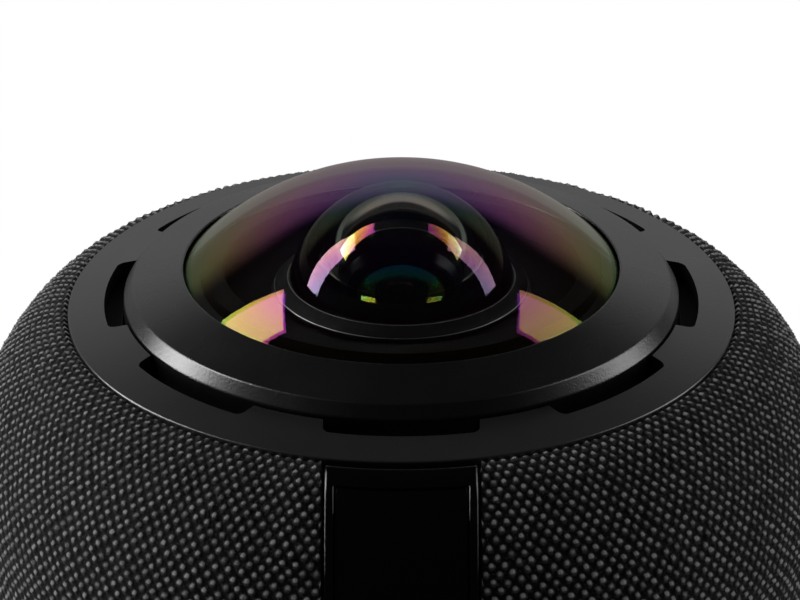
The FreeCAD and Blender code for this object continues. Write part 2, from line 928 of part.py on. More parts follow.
def make_barrel():
    rim = z.rim_height
    fit = z.lens_fit
    element_cup = z.element_radius + fit
    second_cup = z.second_radius + fit
    third_cup = z.third_radius + fit
    tail_bore = z.stop_radius + fit
    second_top = rim - z.second_top_drop
    second_seat = second_top - z.second_edge
    third_top = rim - z.third_top_drop
    third_seat = third_top - z.third_edge
    stop_seat = rim - z.stop_drop
    foot = rim - z.sensor_board_drop
    foot_top = foot + z.barrel_foot_thickness
    body_foot = rim - z.barrel_body_drop
    turned_piece(
        "lens_barrel",
        [
            (element_cup, rim + z.barrel_cup_rise),
            (element_cup, rim + z.element_seat_rise),
            (z.second_throat, rim + z.element_seat_rise),
            (second_cup, second_top),
            (second_cup, second_seat),
            (z.second_seat_bore, second_seat),
            (third_cup, third_top),
            (third_cup, third_seat),
            (z.third_radius - z.lens_seat, third_seat),
            (z.third_radius - z.lens_seat, stop_seat),
            (tail_bore, stop_seat),
            (tail_bore, foot_top),
            (z.barrel_foot_bore, foot_top),
            (z.barrel_foot_bore, foot),
            (z.barrel_foot_radius, foot),
            (z.barrel_foot_radius, foot_top),
            (z.barrel_tail_radius, foot_top),
            (z.barrel_tail_radius, body_foot),
            (z.barrel_body_radius, body_foot),
            (z.barrel_body_radius, rim - z.barrel_flange_drop),
            (z.barrel_flange_radius, rim - z.barrel_flange_drop),
            (z.barrel_flange_radius, rim + z.barrel_flange_rise),
            (z.barrel_cup_radius, rim + z.barrel_flange_rise),
            (z.barrel_cup_radius, rim + z.barrel_cup_rise),
        ],
    )
    second_centre = second_top - root(z.second_ball * z.second_ball - z.second_radius * z.second_radius)
    turned_piece(
        "second_element",
        [
            (0, second_centre + z.second_ball),
            (0, second_seat + z.second_hollow),
            (z.second_hollow, second_seat, "y"),
            (z.second_radius, second_seat),
            (z.second_radius, second_top, "x"),
        ],
        {1: (0, second_seat), 4: (0, second_centre)},
    )
    lens_blank("third_element", z.third_radius, z.third_ball, third_top, third_seat)
    rear_top = rim - z.rear_top_drop
    lens_blank("rear_element", z.stop_radius, z.rear_ball, rear_top, rear_top - z.rear_edge)
    spacer_bore = z.stop_radius - z.lens_seat
    turned_piece(
        "aperture_stop",
        [
            (z.stop_hole, stop_seat - z.stop_thickness),
            (spacer_bore, stop_seat - z.stop_thickness),
            (spacer_bore, rear_top),
            (z.stop_radius, rear_top),
            (z.stop_radius, stop_seat),
            (z.stop_hole, stop_seat),
        ],
    )


def lens_blank(name, radius, ball, top, low):
    """A lens that bulges on both faces between two flat lands."""
    clear = radius - z.lens_land
    sag = ball - root(ball * ball - clear * clear)
    turned_piece(
        name,
        [(0, top + sag), (0, low - sag), (clear, low, "x"), (radius, low), (radius, top), (clear, top, "x")],
        {1: (0, low - sag + ball), 5: (0, top + sag - ball)},
    )


# Image sensor


def make_sensor():
    top = z.rim_height - z.sensor_board_drop
    half = z.sensor_board_side / 2
    board = new_body("sensor_board")
    slab(board, "sensor_board_sheet", -half, half, -half, half, top - z.board_thickness, z.board_thickness)
    sensor = new_body("image_sensor")
    reach, width = z.sensor_length / 2, z.sensor_width / 2
    slab(sensor, "image_sensor_chip", -reach, reach, -width, width, top, z.sensor_thickness)
    glass = new_body("infrared_filter")
    side = z.filter_side / 2
    slab(glass, "infrared_filter_glass", -side, side, -side, side, top + z.sensor_thickness,
         z.filter_thickness)
    upside_down = FreeCAD.Rotation(FreeCAD.Vector(1, 0, 0), 180)
    sink = finned_block("sensor_heat_sink", z.sink_side, z.sink_base, z.sink_depth)
    place(sink, 0, 0, top - z.board_thickness, upside_down)


def finned_block(name, side, base, depth):
    """A square heat sink that stands on its own origin: a base and a row of fins."""
    body = new_body(name)
    half = side / 2
    slab(body, f"{name}_base", -half, half, -half, half, 0, base)
    fin = slab(body, f"{name}_fin", -half, z.fin_thickness - half, -half, half, base, depth - base)
    rows = body.newObject("PartDesign::LinearPattern", f"{name}_fins")
    rows.Originals = [fin]
    rows.Direction = (origin_feature(body, "X_Axis"), [""])
    rows.setExpression("Length", (side - z.fin_thickness).formula)
    rows.setExpression("Occurrences", z.fin_count.formula)
    body.Tip = rows
    return body


# Microphones and the frame that carries them


def microphone_levels():
    mesh_top = z.rim_height - z.plate_thickness
    board_top = mesh_top - z.mesh_thickness
    board_low = board_top - z.microphone_board_thickness
    return mesh_top, board_top, board_low


def make_microphones():
    mesh_top, board_top, board_low = microphone_levels()
    inner = z.bezel_radius + z.microphone_ring_gap
    outer = z.shell_flange_bore - z.microphone_ring_gap
    turned_piece(
        "microphone_mesh",
        [(inner, board_top), (outer, board_top), (outer, mesh_top), (inner, mesh_top)],
    )
    board = turned_piece(
        "microphone_board",
        [(inner, board_low), (outer, board_low), (outer, board_top), (inner, board_top)],
    )
    port = round_holes(board, "sound_port", [(0, -z.microphone_radius)], z.microphone_port, board_top)
    round_pattern(board, port, "sound_ports", z.microphone_count)
    capsules = new_body("microphones")
    half = z.microphone_width / 2
    middle, reach = z.microphone_radius, z.microphone_length / 2
    capsule = slab(capsules, "microphone_capsule", -half, half, -middle - reach, reach - middle,
                   board_low - z.microphone_height, z.microphone_height)
    round_pattern(capsules, capsule, "microphone_ring", z.microphone_count)


def make_upper_frame():
    _, _, board_low = microphone_levels()
    floor = z.rim_height - z.frame_ring_drop
    bed = board_low - z.microphone_height - z.microphone_ring_gap
    outer = z.shell_flange_bore - z.microphone_ring_gap
    body = turned_piece(
        "upper_frame",
        [
            (z.frame_ring_bore, floor),
            (outer, floor),
            (outer, board_low),
            (z.frame_lip_bore, board_low),
            (z.frame_lip_bore, bed),
            (z.bezel_radius, bed),
            (z.bezel_radius, z.rim_height - z.housing_drop),
            (z.frame_ring_bore, z.rim_height - z.housing_drop),
        ],
    )
    half = z.leg_width / 2
    leg = slab(body, "frame_leg", -half, half, -z.leg_outer, -z.leg_inner, box_top_height,
               floor + z.leg_root - box_top_height)
    round_pattern(body, leg, "frame_legs", z.leg_count)
    screw_ring(body, "frame_screw_hole", z.screw_shank_radius + z.screw_fit)


# Shell, fabric and control strip


def strip_body(name, outer_depth, inner_depth, half_across, foot, top_radius):
    """A slice of a body layer, trimmed to the control strip's width."""
    body = body_layer(name, outer_depth, inner_depth, foot, top_radius)
    keep_front(body, name, half_across)
    return body


def keep_front(body, name, half_across):
    front = z.body_radius + z.tool_margin
    keep_inside(body, f"{name}_sides", -half_across, half_across, -front, -z.strip_half)


def side_edge(depth, across):
    """Picks the edges where the outer face of a body layer meets the sides that it was trimmed to."""

    def wanted(edge):
        middle = edge.valueAt((edge.FirstParameter + edge.LastParameter) / 2)
        if abs(abs(middle.x) - across.value) > EDGE_MATCH:
            return False
        radius = hypot(middle.x, middle.y)
        low_reach = hypot(radius - low_centre[0].value, middle.z - low_centre[1].value)
        high_reach = hypot(radius - high_centre[0].value, middle.z - high_centre[1].value)
        misses = (
            radius - flank_radius(as_size(middle.z), depth).value,
            low_reach - (z.shoulder_low_radius - depth).value,
            high_reach - (z.shoulder_high_radius - depth).value,
        )
        return min(abs(miss) for miss in misses) < EDGE_MATCH

    return wanted


def make_shell():
    outer = shell_depth()
    inner = shell_inside()
    foot = z.fabric_foot_height
    rim_radius = z.plate_radius + z.plate_seat_gap
    seat = z.rim_height - z.plate_thickness
    flange_low = seat - z.shell_flange_thickness
    body = turned_piece(
        "grille_shell",
        [
            (flank_radius(foot, outer), foot),
            flank_top(outer),
            (*shoulder_joint(outer), "y"),
            (rim_radius, shoulder_height(rim_radius, outer), "x"),
            (rim_radius, seat),
            (z.shell_flange_bore, seat),
            (z.shell_flange_bore, flange_low),
            (shoulder_radius(flange_low, inner), flange_low, "y"),
            (*shoulder_joint(inner), "y"),
            flank_top(inner),
            (flank_radius(foot, inner), foot),
        ],
        {1: low_centre, 2: high_centre, 7: high_centre, 8: low_centre},
    )
    cut_grille_slots(body)
    add_board_bosses(body)
    cut_strip_channel(body, rim_radius)
    front_rounds(body, "button_clearance", [volume_up_height, volume_down_height, mute_height],
                 z.button_flange + z.button_fit * 2)
    front_rounds(body, "light_clearance", [light_height], z.light_flange + z.button_fit * 2)
    sketch = new_sketch(body, "socket_window_plan", "XZ_Plane")
    rounded_rectangle(sketch, z.socket_panel_half + z.socket_panel_fit,
                      z.socket_panel_low - z.socket_panel_fit,
                      z.socket_panel_high + z.socket_panel_fit, z.socket_panel_corner)
    pocket(body, sketch, "socket_window", z.body_radius * 2)


def cut_grille_slots(body):
    """Rows of slots over the rear loudspeaker, repeated over the other two."""
    sketch = new_sketch(body, "grille_slot_plan", "XZ_Plane")
    half = z.slot_width / 2
    for row in range(int(z.slot_rows.value)):
        middle = speaker_height + (row - (z.slot_rows - 1) / 2) * z.slot_pitch
        rectangle(sketch, -half, half, middle - z.slot_height / 2, middle + z.slot_height / 2)
    slots = pocket(body, sketch, "grille_slots", z.body_radius * 2)
    round_pattern(body, slots, "grille_slot_sets", z.leg_count)


def add_board_bosses(body):
    """Four bosses inside the front wall that carry the button board."""
    board = button_board_face
    for name, height in board_boss_heights():
        face = flank_radius(height, shell_depth() + z.shell_wall / 2 + z.strip_depth / 2)
        sketch = new_sketch(body, f"{name}_plan", "XZ_Plane", board)
        for across in (-z.boss_spread, z.boss_spread):
            circle(sketch, across, height, z.boss_radius)
        doc.recompute()
        pad(body, sketch, name, face - board)


def board_boss_heights():
    return [
        ("low_board_boss", button_board_low + z.boss_inset),
        ("high_board_boss", button_board_high - z.boss_inset),
    ]


def cut_strip_channel(body, rim_radius):
    """The recess that the control strip is glued into, turned and trimmed like the strip itself."""
    tool = doc.addObject("PartDesign::Body", "strip_channel")
    sketch = new_sketch(tool, "strip_channel_section")
    foot = z.fabric_foot_height - z.tool_margin
    layer_outline(sketch, -z.fabric_thickness, z.strip_depth + z.strip_fit, foot, rim_radius)
    revolve(tool, sketch, "strip_channel_turn")
    keep_front(tool, "strip_channel", z.strip_half + z.strip_fit)
    doc.recompute()
    cut = body.newObject("PartDesign::Boolean", "strip_channel_cut")
    cut.Type = "Cut"
    cut.setObjects([tool])
    body.Tip = cut


def make_fabric():
    body = body_layer("fabric_sleeve", as_size(0), z.fabric_thickness, z.fabric_foot_height,
                      z.plate_radius + z.fabric_edge_gap)
    front_hole(body, "strip_opening", z.strip_half + z.strip_gap, z.fabric_foot_height - z.tool_margin,
               z.rim_height + z.tool_margin)
    sketch = new_sketch(body, "socket_opening_plan", "XZ_Plane")
    margin = z.socket_panel_fit
    rounded_rectangle(sketch, z.socket_panel_half + margin, z.socket_panel_low - margin,
                      z.socket_panel_high + margin, z.socket_panel_corner)
    pocket(body, sketch, "socket_opening", z.body_radius * 2)


def panel_window():
    """Half width, foot height and head height of the window in the control frame."""
    head = shoulder_height(z.strip_top_radius, as_size(0)) - z.strip_head
    return (z.strip_half - z.strip_border, z.strip_foot_height + z.strip_border, head)


def make_control_strip():
    frame = strip_body("control_frame", as_size(0), z.strip_depth, z.strip_half, z.strip_foot_height,
                       z.strip_top_radius)
    soften(frame, "frame_edge", z.strip_edge_round, side_edge(as_size(0), z.strip_half))
    half, low, high = panel_window()
    front_hole(frame, "panel_window", half, low, high)
    fit = z.strip_fit
    panel = strip_body("control_panel", z.panel_recess, z.strip_depth, half - fit, low + fit,
                       z.strip_top_radius)
    sketch = new_sketch(panel, "panel_head_plan", "XZ_Plane", z.strip_half)
    rectangle(sketch, -z.strip_half, z.strip_half, high - fit, high + z.tool_margin)
    pocket(panel, sketch, "panel_head", z.body_radius, reverse=True)
    soften(panel, "panel_edge", z.strip_edge_round, side_edge(z.panel_recess, half - fit))
    front_rounds(panel, "button_holes", [volume_up_height, volume_down_height, mute_height],
                 z.button_radius + z.button_fit)
    front_rounds(panel, "light_hole", [light_height], z.light_radius + z.button_fit)


# Buttons, their board and the status light


def make_button(name, height):
    """A keycap with a flange behind the panel and a stem towards its switch; it slides along +Y."""
    body = new_body(name)
    front = flank_radius(height, -z.button_proud)
    flange_front = flank_radius(height, z.strip_depth) - z.button_flange_clear
    flange_back = flange_front - z.button_flange_thickness
    stem_end = plunger_tip() + z.button_travel + z.button_rest_gap
    for feature, radius, near, far in (
        ("cap", z.button_radius, flange_front, front),
        ("flange", z.button_flange, flange_back, flange_front),
        ("stem", z.button_stem, stem_end, flange_back),
    ):
        sketch = new_sketch(body, f"{name}_{feature}_plan", "XZ_Plane", near)
        circle(sketch, 0, height, radius)
        doc.recompute()
        pad(body, sketch, f"{name}_{feature}", far - near)
        if feature == "cap":
            soften(body, f"{name}_edge", z.button_edge_round, face_edge(far))


def face_edge(front):
    """Picks the round edge of a face this far in front of the axis."""

    def wanted(edge):
        return isinstance(edge.Curve, Part.Circle) and abs(edge.Curve.Center.y + front.value) < EDGE_MATCH

    return wanted


def plunger_tip():
    """How far in front of the axis the switches' plungers reach."""
    return button_board_face + z.switch_height + z.plunger_height


def make_button_board():
    board = new_body("button_board")
    sketch = new_sketch(board, "button_board_plan", "XZ_Plane", button_board_face - z.board_thickness)
    rectangle(sketch, -z.button_board_width / 2, z.button_board_width / 2, button_board_low,
              button_board_high)
    pad(board, sketch, "button_board_sheet", z.board_thickness)
    switches = new_body("button_switches")
    sketch = new_sketch(switches, "switch_plan", "XZ_Plane", button_board_face)
    half = z.switch_side / 2
    heights = [volume_up_height, volume_down_height, mute_height]
    for height in heights:
        rectangle(sketch, -half, half, height - half, height + half)
    pad(switches, sketch, "switch_bodies", z.switch_height)
    sketch = new_sketch(switches, "plunger_plan", "XZ_Plane", button_board_face + z.switch_height)
    for height in heights:
        circle(sketch, 0, height, z.plunger_radius)
    doc.recompute()
    pad(switches, sketch, "switch_plungers", z.plunger_height)


def make_status_light():
    body = new_body("status_light")
    height = light_height
    front = flank_radius(height, z.panel_recess)
    flange_front = flank_radius(height, z.strip_depth) - z.button_fit
    tip = button_board_face + z.switch_height
    sketch = new_sketch(body, "light_flange_plan", "XZ_Plane", tip)
    circle(sketch, 0, height, z.light_flange)
    pad(body, sketch, "light_flange_round", flange_front - tip)
    sketch = new_sketch(body, "light_pipe_plan", "XZ_Plane", flange_front)
    circle(sketch, 0, height, z.light_radius)
    doc.recompute()
    pad(body, sketch, "light_pipe", front - flange_front)
    sketch = new_sketch(body, "light_source_plan", "XZ_Plane", button_board_face)
    circle(sketch, 0, height, z.light_radius)
    doc.recompute()
    pad(body, sketch, "light_source", tip - button_board_face)


# Loudspeakers


# Turns from the front, of the box's faces and of its corners
SPEAKERS = {"left": -60.0, "right": 60.0, "rear": 180.0}
BOX_CORNERS = (0.0, 120.0, 240.0)


def speaker_turn(angle):
    """Turns a piece drawn along +Z to face outwards, the given angle round from the front."""
    about_height = FreeCAD.Rotation(FreeCAD.Vector(0, 0, 1), angle)
    return about_height.multiply(FreeCAD.Rotation(FreeCAD.Vector(1, 0, 0), 90))


def place_speaker_piece(body, angle):
    turn = as_size(angle)
    place(body, z.box_apothem * sine(turn), -(z.box_apothem * cosine(turn)), speaker_height,
          speaker_turn(angle))


def make_speaker(side, angle):
    """One loudspeaker, drawn along +Z from the box's face and then turned to its side."""
    basket = new_body(f"speaker_basket_{side}")
    name = f"basket_{side}"
    half = z.speaker_side / 2
    sketch = new_sketch(basket, f"{name}_flange_plan", "XY_Plane")
    rounded_rectangle(sketch, half, -half, half, z.speaker_corner)
    circle(sketch, 0, 0, z.speaker_mouth)
    pad(basket, sketch, f"{name}_flange", z.speaker_flange)
    outer_top = z.basket_hole_radius - z.basket_fit
    sketch = new_sketch(basket, f"{name}_section")
    outline(
        sketch,
        [
            (z.speaker_mouth, 0),
            (z.speaker_mouth, -z.basket_wall),
            (z.basket_neck - z.basket_wall, z.basket_back - z.basket_depth),
            (z.basket_bore, z.basket_back - z.basket_depth),
            (z.basket_bore, -z.basket_depth),
            (z.basket_neck, -z.basket_depth),
            (outer_top, -z.basket_wall),
            (outer_top, 0),
        ],
    )
    doc.recompute()
    revolve(basket, sketch, f"{name}_turn")
    cut_basket_windows(basket, name)
    cut_speaker_screw_holes(basket, name)
    place_speaker_piece(basket, angle)
    make_magnet(side, angle)
    make_cone(side, angle)
    make_surround(side, angle)


def cut_basket_windows(basket, name):
    """Openings between the basket's spokes, cut outwards through its wall."""
    half = z.basket_window_width / 2
    sketch = new_sketch(basket, f"{name}_window_plan", "XZ_Plane", z.basket_bore)
    rectangle(sketch, -half, half, -z.basket_window_far, -z.basket_window_near)
    window = pocket(basket, sketch, f"{name}_window", z.basket_hole_radius, reverse=True)
    round_pattern(basket, window, f"{name}_windows", z.basket_window_count)


def speaker_screw_spots():
    spot = z.speaker_screw_place
    return [(spot, spot), (-spot, spot), (-spot, -spot), (spot, -spot)]


def cut_speaker_screw_holes(basket, name):
    sketch = new_sketch(basket, f"{name}_screw_plan", "XY_Plane")
    for across, up in speaker_screw_spots():
        circle(sketch, across, up, z.screw_shank_radius + z.screw_fit)
    pocket(basket, sketch, f"{name}_screw_holes")


def make_magnet(side, angle):
    magnet = turned_piece(
        f"speaker_magnet_{side}",
        [
            (0, -z.magnet_depth),
            (z.magnet_radius, -z.magnet_depth),
            (z.magnet_radius, -z.basket_depth),
            (z.magnet_gap_outer, -z.basket_depth),
            (z.magnet_gap_outer, -z.magnet_gap_depth),
            (z.magnet_gap_inner, -z.magnet_gap_depth),
            (z.magnet_gap_inner, -z.pole_top_depth),
            (0, -z.pole_top_depth),
        ],
    )
    place_speaker_piece(magnet, angle)


def make_cone(side, angle):
    """Paper cone with its coil former and dust cap, which move as one."""
    cap_sag = z.cap_ball - root(z.cap_ball * z.cap_ball - z.coil_outer * z.coil_outer)
    cap_foot = -z.cap_foot_depth
    cone = turned_piece(
        f"speaker_cone_{side}",
        [
            (0, cap_foot + cap_sag),
            (0, cap_foot + cap_sag - z.cone_wall),
            (z.coil_inner, cap_foot - z.cone_wall),
            (z.coil_inner, -z.coil_depth),
            (z.coil_outer, -z.coil_depth),
            (z.coil_outer, -z.cone_neck_depth),
            (z.cone_radius, z.cone_rim - z.cone_wall),
            (z.cone_radius, z.cone_rim),
            (z.coil_outer, cap_foot, "x"),
        ],
        {8: (0, cap_foot + cap_sag - z.cap_ball)},
    )
    place_speaker_piece(cone, angle)


def make_surround(side, angle):
    """Rubber half roll between the cone's rim and the basket's flange."""
    thickness = z.surround_thickness
    inner = z.cone_radius + z.surround_gap
    seat = z.speaker_flange
    crown = (inner + z.speaker_mouth + thickness * 2) / 2
    outer_roll = crown - inner
    inner_roll = outer_roll - thickness
    half = thickness / 2
    surround = turned_piece(
        f"speaker_surround_{side}",
        [
            (inner, seat - thickness),
            (inner + thickness, seat - thickness),
            (crown - root(inner_roll * inner_roll - half * half), seat + half, "y"),
            (crown + inner_roll, seat),
            (z.surround_foot_radius, seat),
            (z.surround_foot_radius, seat + thickness),
            (crown + root(outer_roll * outer_roll - thickness * thickness), seat + thickness, "y"),
            (inner, seat),
        ],
        {2: (crown, seat), 6: (crown, seat)},
    )
    place_speaker_piece(surround, angle)


def make_speaker_screws():
    """Twelve screws: four on the rear loudspeaker, and their copies on the other two."""
    screws = new_body("speaker_screws")
    face = z.box_apothem
    head_low = face + z.speaker_flange
    features = []
    for name, radius, near, length in (
        ("speaker_screw_shank", z.screw_shank_radius, head_low - z.screw_shank_length, z.screw_shank_length),
        ("speaker_screw_head", z.screw_head_radius, head_low, z.screw_head_height),
    ):
        sketch = new_sketch(screws, f"{name}_plan", "XZ_Plane", -near)
        for across, up in speaker_screw_spots():
            circle(sketch, across, speaker_height + up, radius)
        doc.recompute()
        features.append(pad(screws, sketch, name, length, reverse=True))
    round_pattern(screws, features, "speaker_screw_sets", z.leg_count)


# Loudspeaker box and its lid: a three-sided prism with its corners cut back to a circle


def cut_prism(name, apothem, corner_radius, low, height):
    """Three faces at the apothem, with the corners cut back; one corner points to the front."""
    prism = doc.addObject("Part::Prism", f"{name}_prism")
    prism.Polygon = 3
    prism.setExpression("Circumradius", (apothem * 2).formula)
    prism.setExpression("Height", height.formula)
    prism.Placement = FreeCAD.Placement(FreeCAD.Vector(), FreeCAD.Rotation(FreeCAD.Vector(0, 0, 1), -90))
    prism.setExpression("Placement.Base.z", low.formula)
    cylinder = upright_cylinder(f"{name}_round", corner_radius, low, height)
    common = doc.addObject("Part::Common", name)
    common.Base = prism
    common.Tool = cylinder
    return common


def upright_cylinder(name, radius, low, height, across=None, back=None):
    cylinder = doc.addObject("Part::Cylinder", name)
    cylinder.setExpression("Radius", as_size(radius).formula)
    cylinder.setExpression("Height", as_size(height).formula)
    cylinder.setExpression("Placement.Base.z", as_size(low).formula)
    if across is not None:
        cylinder.setExpression("Placement.Base.x", as_size(across).formula)
        cylinder.setExpression("Placement.Base.y", as_size(back).formula)
    return cylinder


def speaker_cylinder(name, angle, radius, start, length, across=0, up=0):
    """A round tool along a loudspeaker's axis, from start outwards, offset in the box's face."""
    cylinder = doc.addObject("Part::Cylinder", name)
    cylinder.setExpression("Radius", as_size(radius).formula)
    cylinder.setExpression("Height", as_size(length).formula)
    turn = as_size(angle)
    across = as_size(across)
    place(cylinder, sine(turn) * start + cosine(turn) * across, sine(turn) * across - cosine(turn) * start,
          speaker_height + up, speaker_turn(angle))
    return cylinder


def corner_block(name, angle, low, height):
    """An upright block over one corner of the box, at the upper frame's legs."""
    block = doc.addObject("Part::Box", name)
    block.setExpression("Length", z.leg_width.formula)
    block.setExpression("Width", (z.leg_outer - z.leg_inner).formula)
    block.setExpression("Height", as_size(height).formula)
    turn = as_size(angle)
    half = z.leg_width / 2
    place(block, sine(turn) * z.leg_outer - cosine(turn) * half,
          -(cosine(turn) * z.leg_outer) - sine(turn) * half, low,
          FreeCAD.Rotation(FreeCAD.Vector(0, 0, 1), angle))
    return block


def joined(name, kind, shapes):
    result = doc.addObject(kind, name)
    result.Shapes = shapes
    return result


def subtract(name, base, tool):
    result = doc.addObject("Part::Cut", name)
    result.Base = base
    result.Tool = tool
    return result


def make_speaker_box():
    low = z.box_floor_height
    wall_top = box_top_height - z.deck_thickness
    leg_low = z.deck_high_height
    outside = cut_prism("box_outside", z.box_apothem, box_corner_radius, low, wall_top - low)
    cavity_low = low + z.box_floor
    inside = cut_prism("box_inside", z.box_apothem - z.box_wall, box_corner_radius - z.box_wall,
                       cavity_low, box_top_height - cavity_low)
    legs = [
        corner_block(f"box_leg_{number}", angle, leg_low, low + z.box_floor / 2 - leg_low)
        for number, angle in enumerate(BOX_CORNERS, start=1)
    ]
    holes = []
    for side, angle in SPEAKERS.items():
        start = z.box_apothem - z.box_wall * 2
        holes.append(speaker_cylinder(f"basket_hole_{side}", angle, z.basket_hole_radius, start,
                                      z.box_wall * 4))
        for number, (across, up) in enumerate(speaker_screw_spots(), start=1):
            # Seen from outside, a face's own across runs the same way as the sketch it is drawn in.
            holes.append(speaker_cylinder(f"pilot_hole_{side}_{number}", angle,
                                          z.screw_shank_radius + z.screw_fit, start, z.box_wall * 4,
                                          across, up))
    solid = joined("box_with_legs", "Part::MultiFuse", [outside, *legs])
    tools = joined("box_cuts", "Part::MultiFuse", [inside, *holes])
    box = subtract("speaker_box", solid, tools)
    pieces.append(box)


def make_chassis_deck():
    """Lid of the loudspeaker box, with a rim that drops inside and standoffs for the main board."""
    low = box_top_height - z.deck_thickness
    plate = cut_prism("deck_plate", z.box_apothem, box_corner_radius, low, z.deck_thickness)
    inset = z.box_wall + z.deck_fit
    rim_low = low - z.deck_rim_depth
    rim = cut_prism("deck_rim", z.box_apothem - inset, box_corner_radius - inset, rim_low,
                    z.deck_rim_depth + z.deck_thickness / 2)
    hollow = cut_prism("deck_hollow", z.box_apothem - inset * 2, box_corner_radius - inset * 2, rim_low,
                       z.deck_rim_depth)
    spot = z.standoff_place
    standoffs = [
        upright_cylinder(f"standoff_{number}", z.standoff_radius, box_top_height - z.deck_thickness / 2,
                         z.standoff_height + z.deck_thickness / 2, across, back)
        for number, (across, back) in enumerate(standoff_spots(spot), start=1)
    ]
    solid = joined("deck_solid", "Part::MultiFuse", [plate, rim, *standoffs])
    deck = subtract("chassis_deck", solid, hollow)
    pieces.append(deck)


def standoff_spots(spot):
    return [(spot, spot), (-spot, spot), (-spot, -spot), (spot, -spot)]


# Main board


def make_main_board():
    low = box_top_height + z.standoff_height
    top = low + z.main_board_thickness
    board = new_body("main_board")
    disc(board, "main_board_sheet", [(0, 0)], z.main_board_radius, low, z.main_board_thickness)
    processor = new_body("processor")
    half = z.processor_side / 2
    slab(processor, "processor_chip", -half, half, -half, half, top, z.processor_thickness)
    sink = finned_block("processor_heat_sink", z.main_sink_side, z.main_sink_base, z.main_sink_depth)
    place(sink, 0, 0, top + z.processor_thickness)


def make_camera_ribbon():
    """Flat ribbon from the sensor board's underside, out and down to the main board."""
    body = new_body("camera_ribbon")
    top = z.rim_height - z.sensor_board_drop - z.board_thickness
    low = box_top_height + z.standoff_height + z.main_board_thickness
    start = z.sink_side / 2 + z.ribbon_gap
    thin = z.ribbon_thickness
    reach = z.ribbon_reach
    sketch = new_sketch(body, "camera_ribbon_path", "XZ_Plane", -z.ribbon_width / 2)
    outline(
        sketch,
        [
            (start, top),
            (start, top - z.ribbon_plug),
            (reach - thin, top - z.ribbon_plug),
            (reach - thin, low + thin),
            (reach - z.ribbon_plug * 2, low + z.ribbon_plug),
            (reach - z.ribbon_plug * 2, low),
            (reach + z.ribbon_plug, low),
            (reach, low + z.ribbon_plug),
            (reach, top - z.ribbon_plug + thin),
            (z.sensor_board_side / 2, top - z.ribbon_plug + thin),
            (z.sensor_board_side / 2, top),
        ],
    )
    pad(body, sketch, "camera_ribbon_sheet", z.ribbon_width)


# Base


def base_screw_spots():
    place_radius = base_screw_place
    return [(place_radius, 0), (0, place_radius), (-place_radius, 0), (0, -place_radius)]


def make_base():
    cover_low = z.foot_height
    cover_top = cover_low + z.cover_thickness
    ledge = z.fabric_foot_height
    shell_foot = flank_radius(ledge, shell_depth())
    body = turned_piece(
        "base_housing",
        [
            (z.base_cable_hole, z.deck_low_height),
            (z.base_cable_hole, z.deck_high_height),
            (base_spigot_radius, z.deck_high_height),
            (base_spigot_radius, ledge),
            (shell_foot, ledge),
            (base_radius, ledge - (base_radius - shell_foot)),
            (base_low_radius, cover_low + z.base_chamfer),
            (base_low_radius - z.base_chamfer, cover_low),
            (cover_radius + z.cover_fit, cover_low),
            (cover_radius + z.cover_fit, cover_top),
            (base_wall_bore, cover_top),
            (base_wall_bore, z.deck_low_height),
        ],
    )
    disc(body, "cover_bosses", base_screw_spots(), z.base_boss_radius, cover_top,
         z.deck_low_height - cover_top + z.deck_thickness / 2)
    disc(body, "board_posts", board_post_spots(), z.post_radius, z.deck_high_height - z.deck_thickness / 2,
         socket_board_low() - z.deck_high_height + z.deck_thickness / 2)
    sketch = new_sketch(body, "cover_screw_hole_plan", "XY_Plane", cover_top)
    for across, back in base_screw_spots():
        circle(sketch, across, back, z.screw_shank_radius + z.screw_fit)
    pocket(body, sketch, "cover_screw_holes", z.screw_shank_length + z.screw_head_height, reverse=True)


def make_base_cover():
    low = z.foot_height
    body = turned_piece(
        "base_cover",
        [
            (z.insert_radius + z.cover_fit, low),
            (cover_radius, low),
            (cover_radius, low + z.cover_thickness),
            (z.cover_boss_radius, low + z.cover_thickness),
            (z.cover_boss_radius, z.cover_boss_height),
            (0, z.cover_boss_height),
            (0, low + z.insert_length),
            (z.insert_radius + z.cover_fit, low + z.insert_length),
        ],
    )
    round_holes(body, "cover_screw_through", base_screw_spots(), z.screw_shank_radius + z.screw_fit, low)
    sketch = new_sketch(body, "cover_screw_sink_plan", "XY_Plane", low)
    for across, back in base_screw_spots():
        circle(sketch, across, back, z.screw_head_radius + z.screw_fit)
    pocket(body, sketch, "cover_screw_sinks", z.screw_head_height, reverse=True)
    turned_piece(
        "tripod_insert",
        [
            (z.insert_bore, low),
            (z.insert_radius, low),
            (z.insert_radius, low + z.insert_length),
            (z.insert_bore, low + z.insert_length),
        ],
    )
    screws = new_body("base_screws")
    disc(screws, "base_screw_heads", base_screw_spots(), z.screw_head_radius, low, z.screw_head_height)
    disc(screws, "base_screw_shanks", base_screw_spots(), z.screw_shank_radius, low + z.screw_head_height,
         z.screw_shank_length)


def make_ballast():
    low = z.foot_height + z.cover_thickness
    body = turned_piece(
        "ballast_weight",
        [
            (z.ballast_bore, low),
            (ballast_radius, low),
            (ballast_radius, low + z.ballast_thickness),
            (z.ballast_bore, low + z.ballast_thickness),
        ],
    )
    round_holes(body, "ballast_holes", base_screw_spots(), z.base_boss_radius + z.cover_fit, low)


def make_foot():
    turned_piece(
        "foot_ring",
        [
            (foot_inner, 0),
            (foot_outer - z.base_chamfer / 2, 0),
            (foot_outer, z.base_chamfer / 2),
            (foot_outer, z.foot_height),
            (foot_inner, z.foot_height),
        ],
    )


# Rear connector panel


def socket_board_low():
    return z.socket_height - z.socket_thickness / 2 - z.board_thickness


def socket_board_back():
    """How far back the connector board reaches before its corners near the rear wall."""
    wall = flank_radius(socket_board_low(), z.socket_panel_depth)
    half = z.socket_board_width / 2
    return root(wall * wall - half * half) - z.socket_board_gap


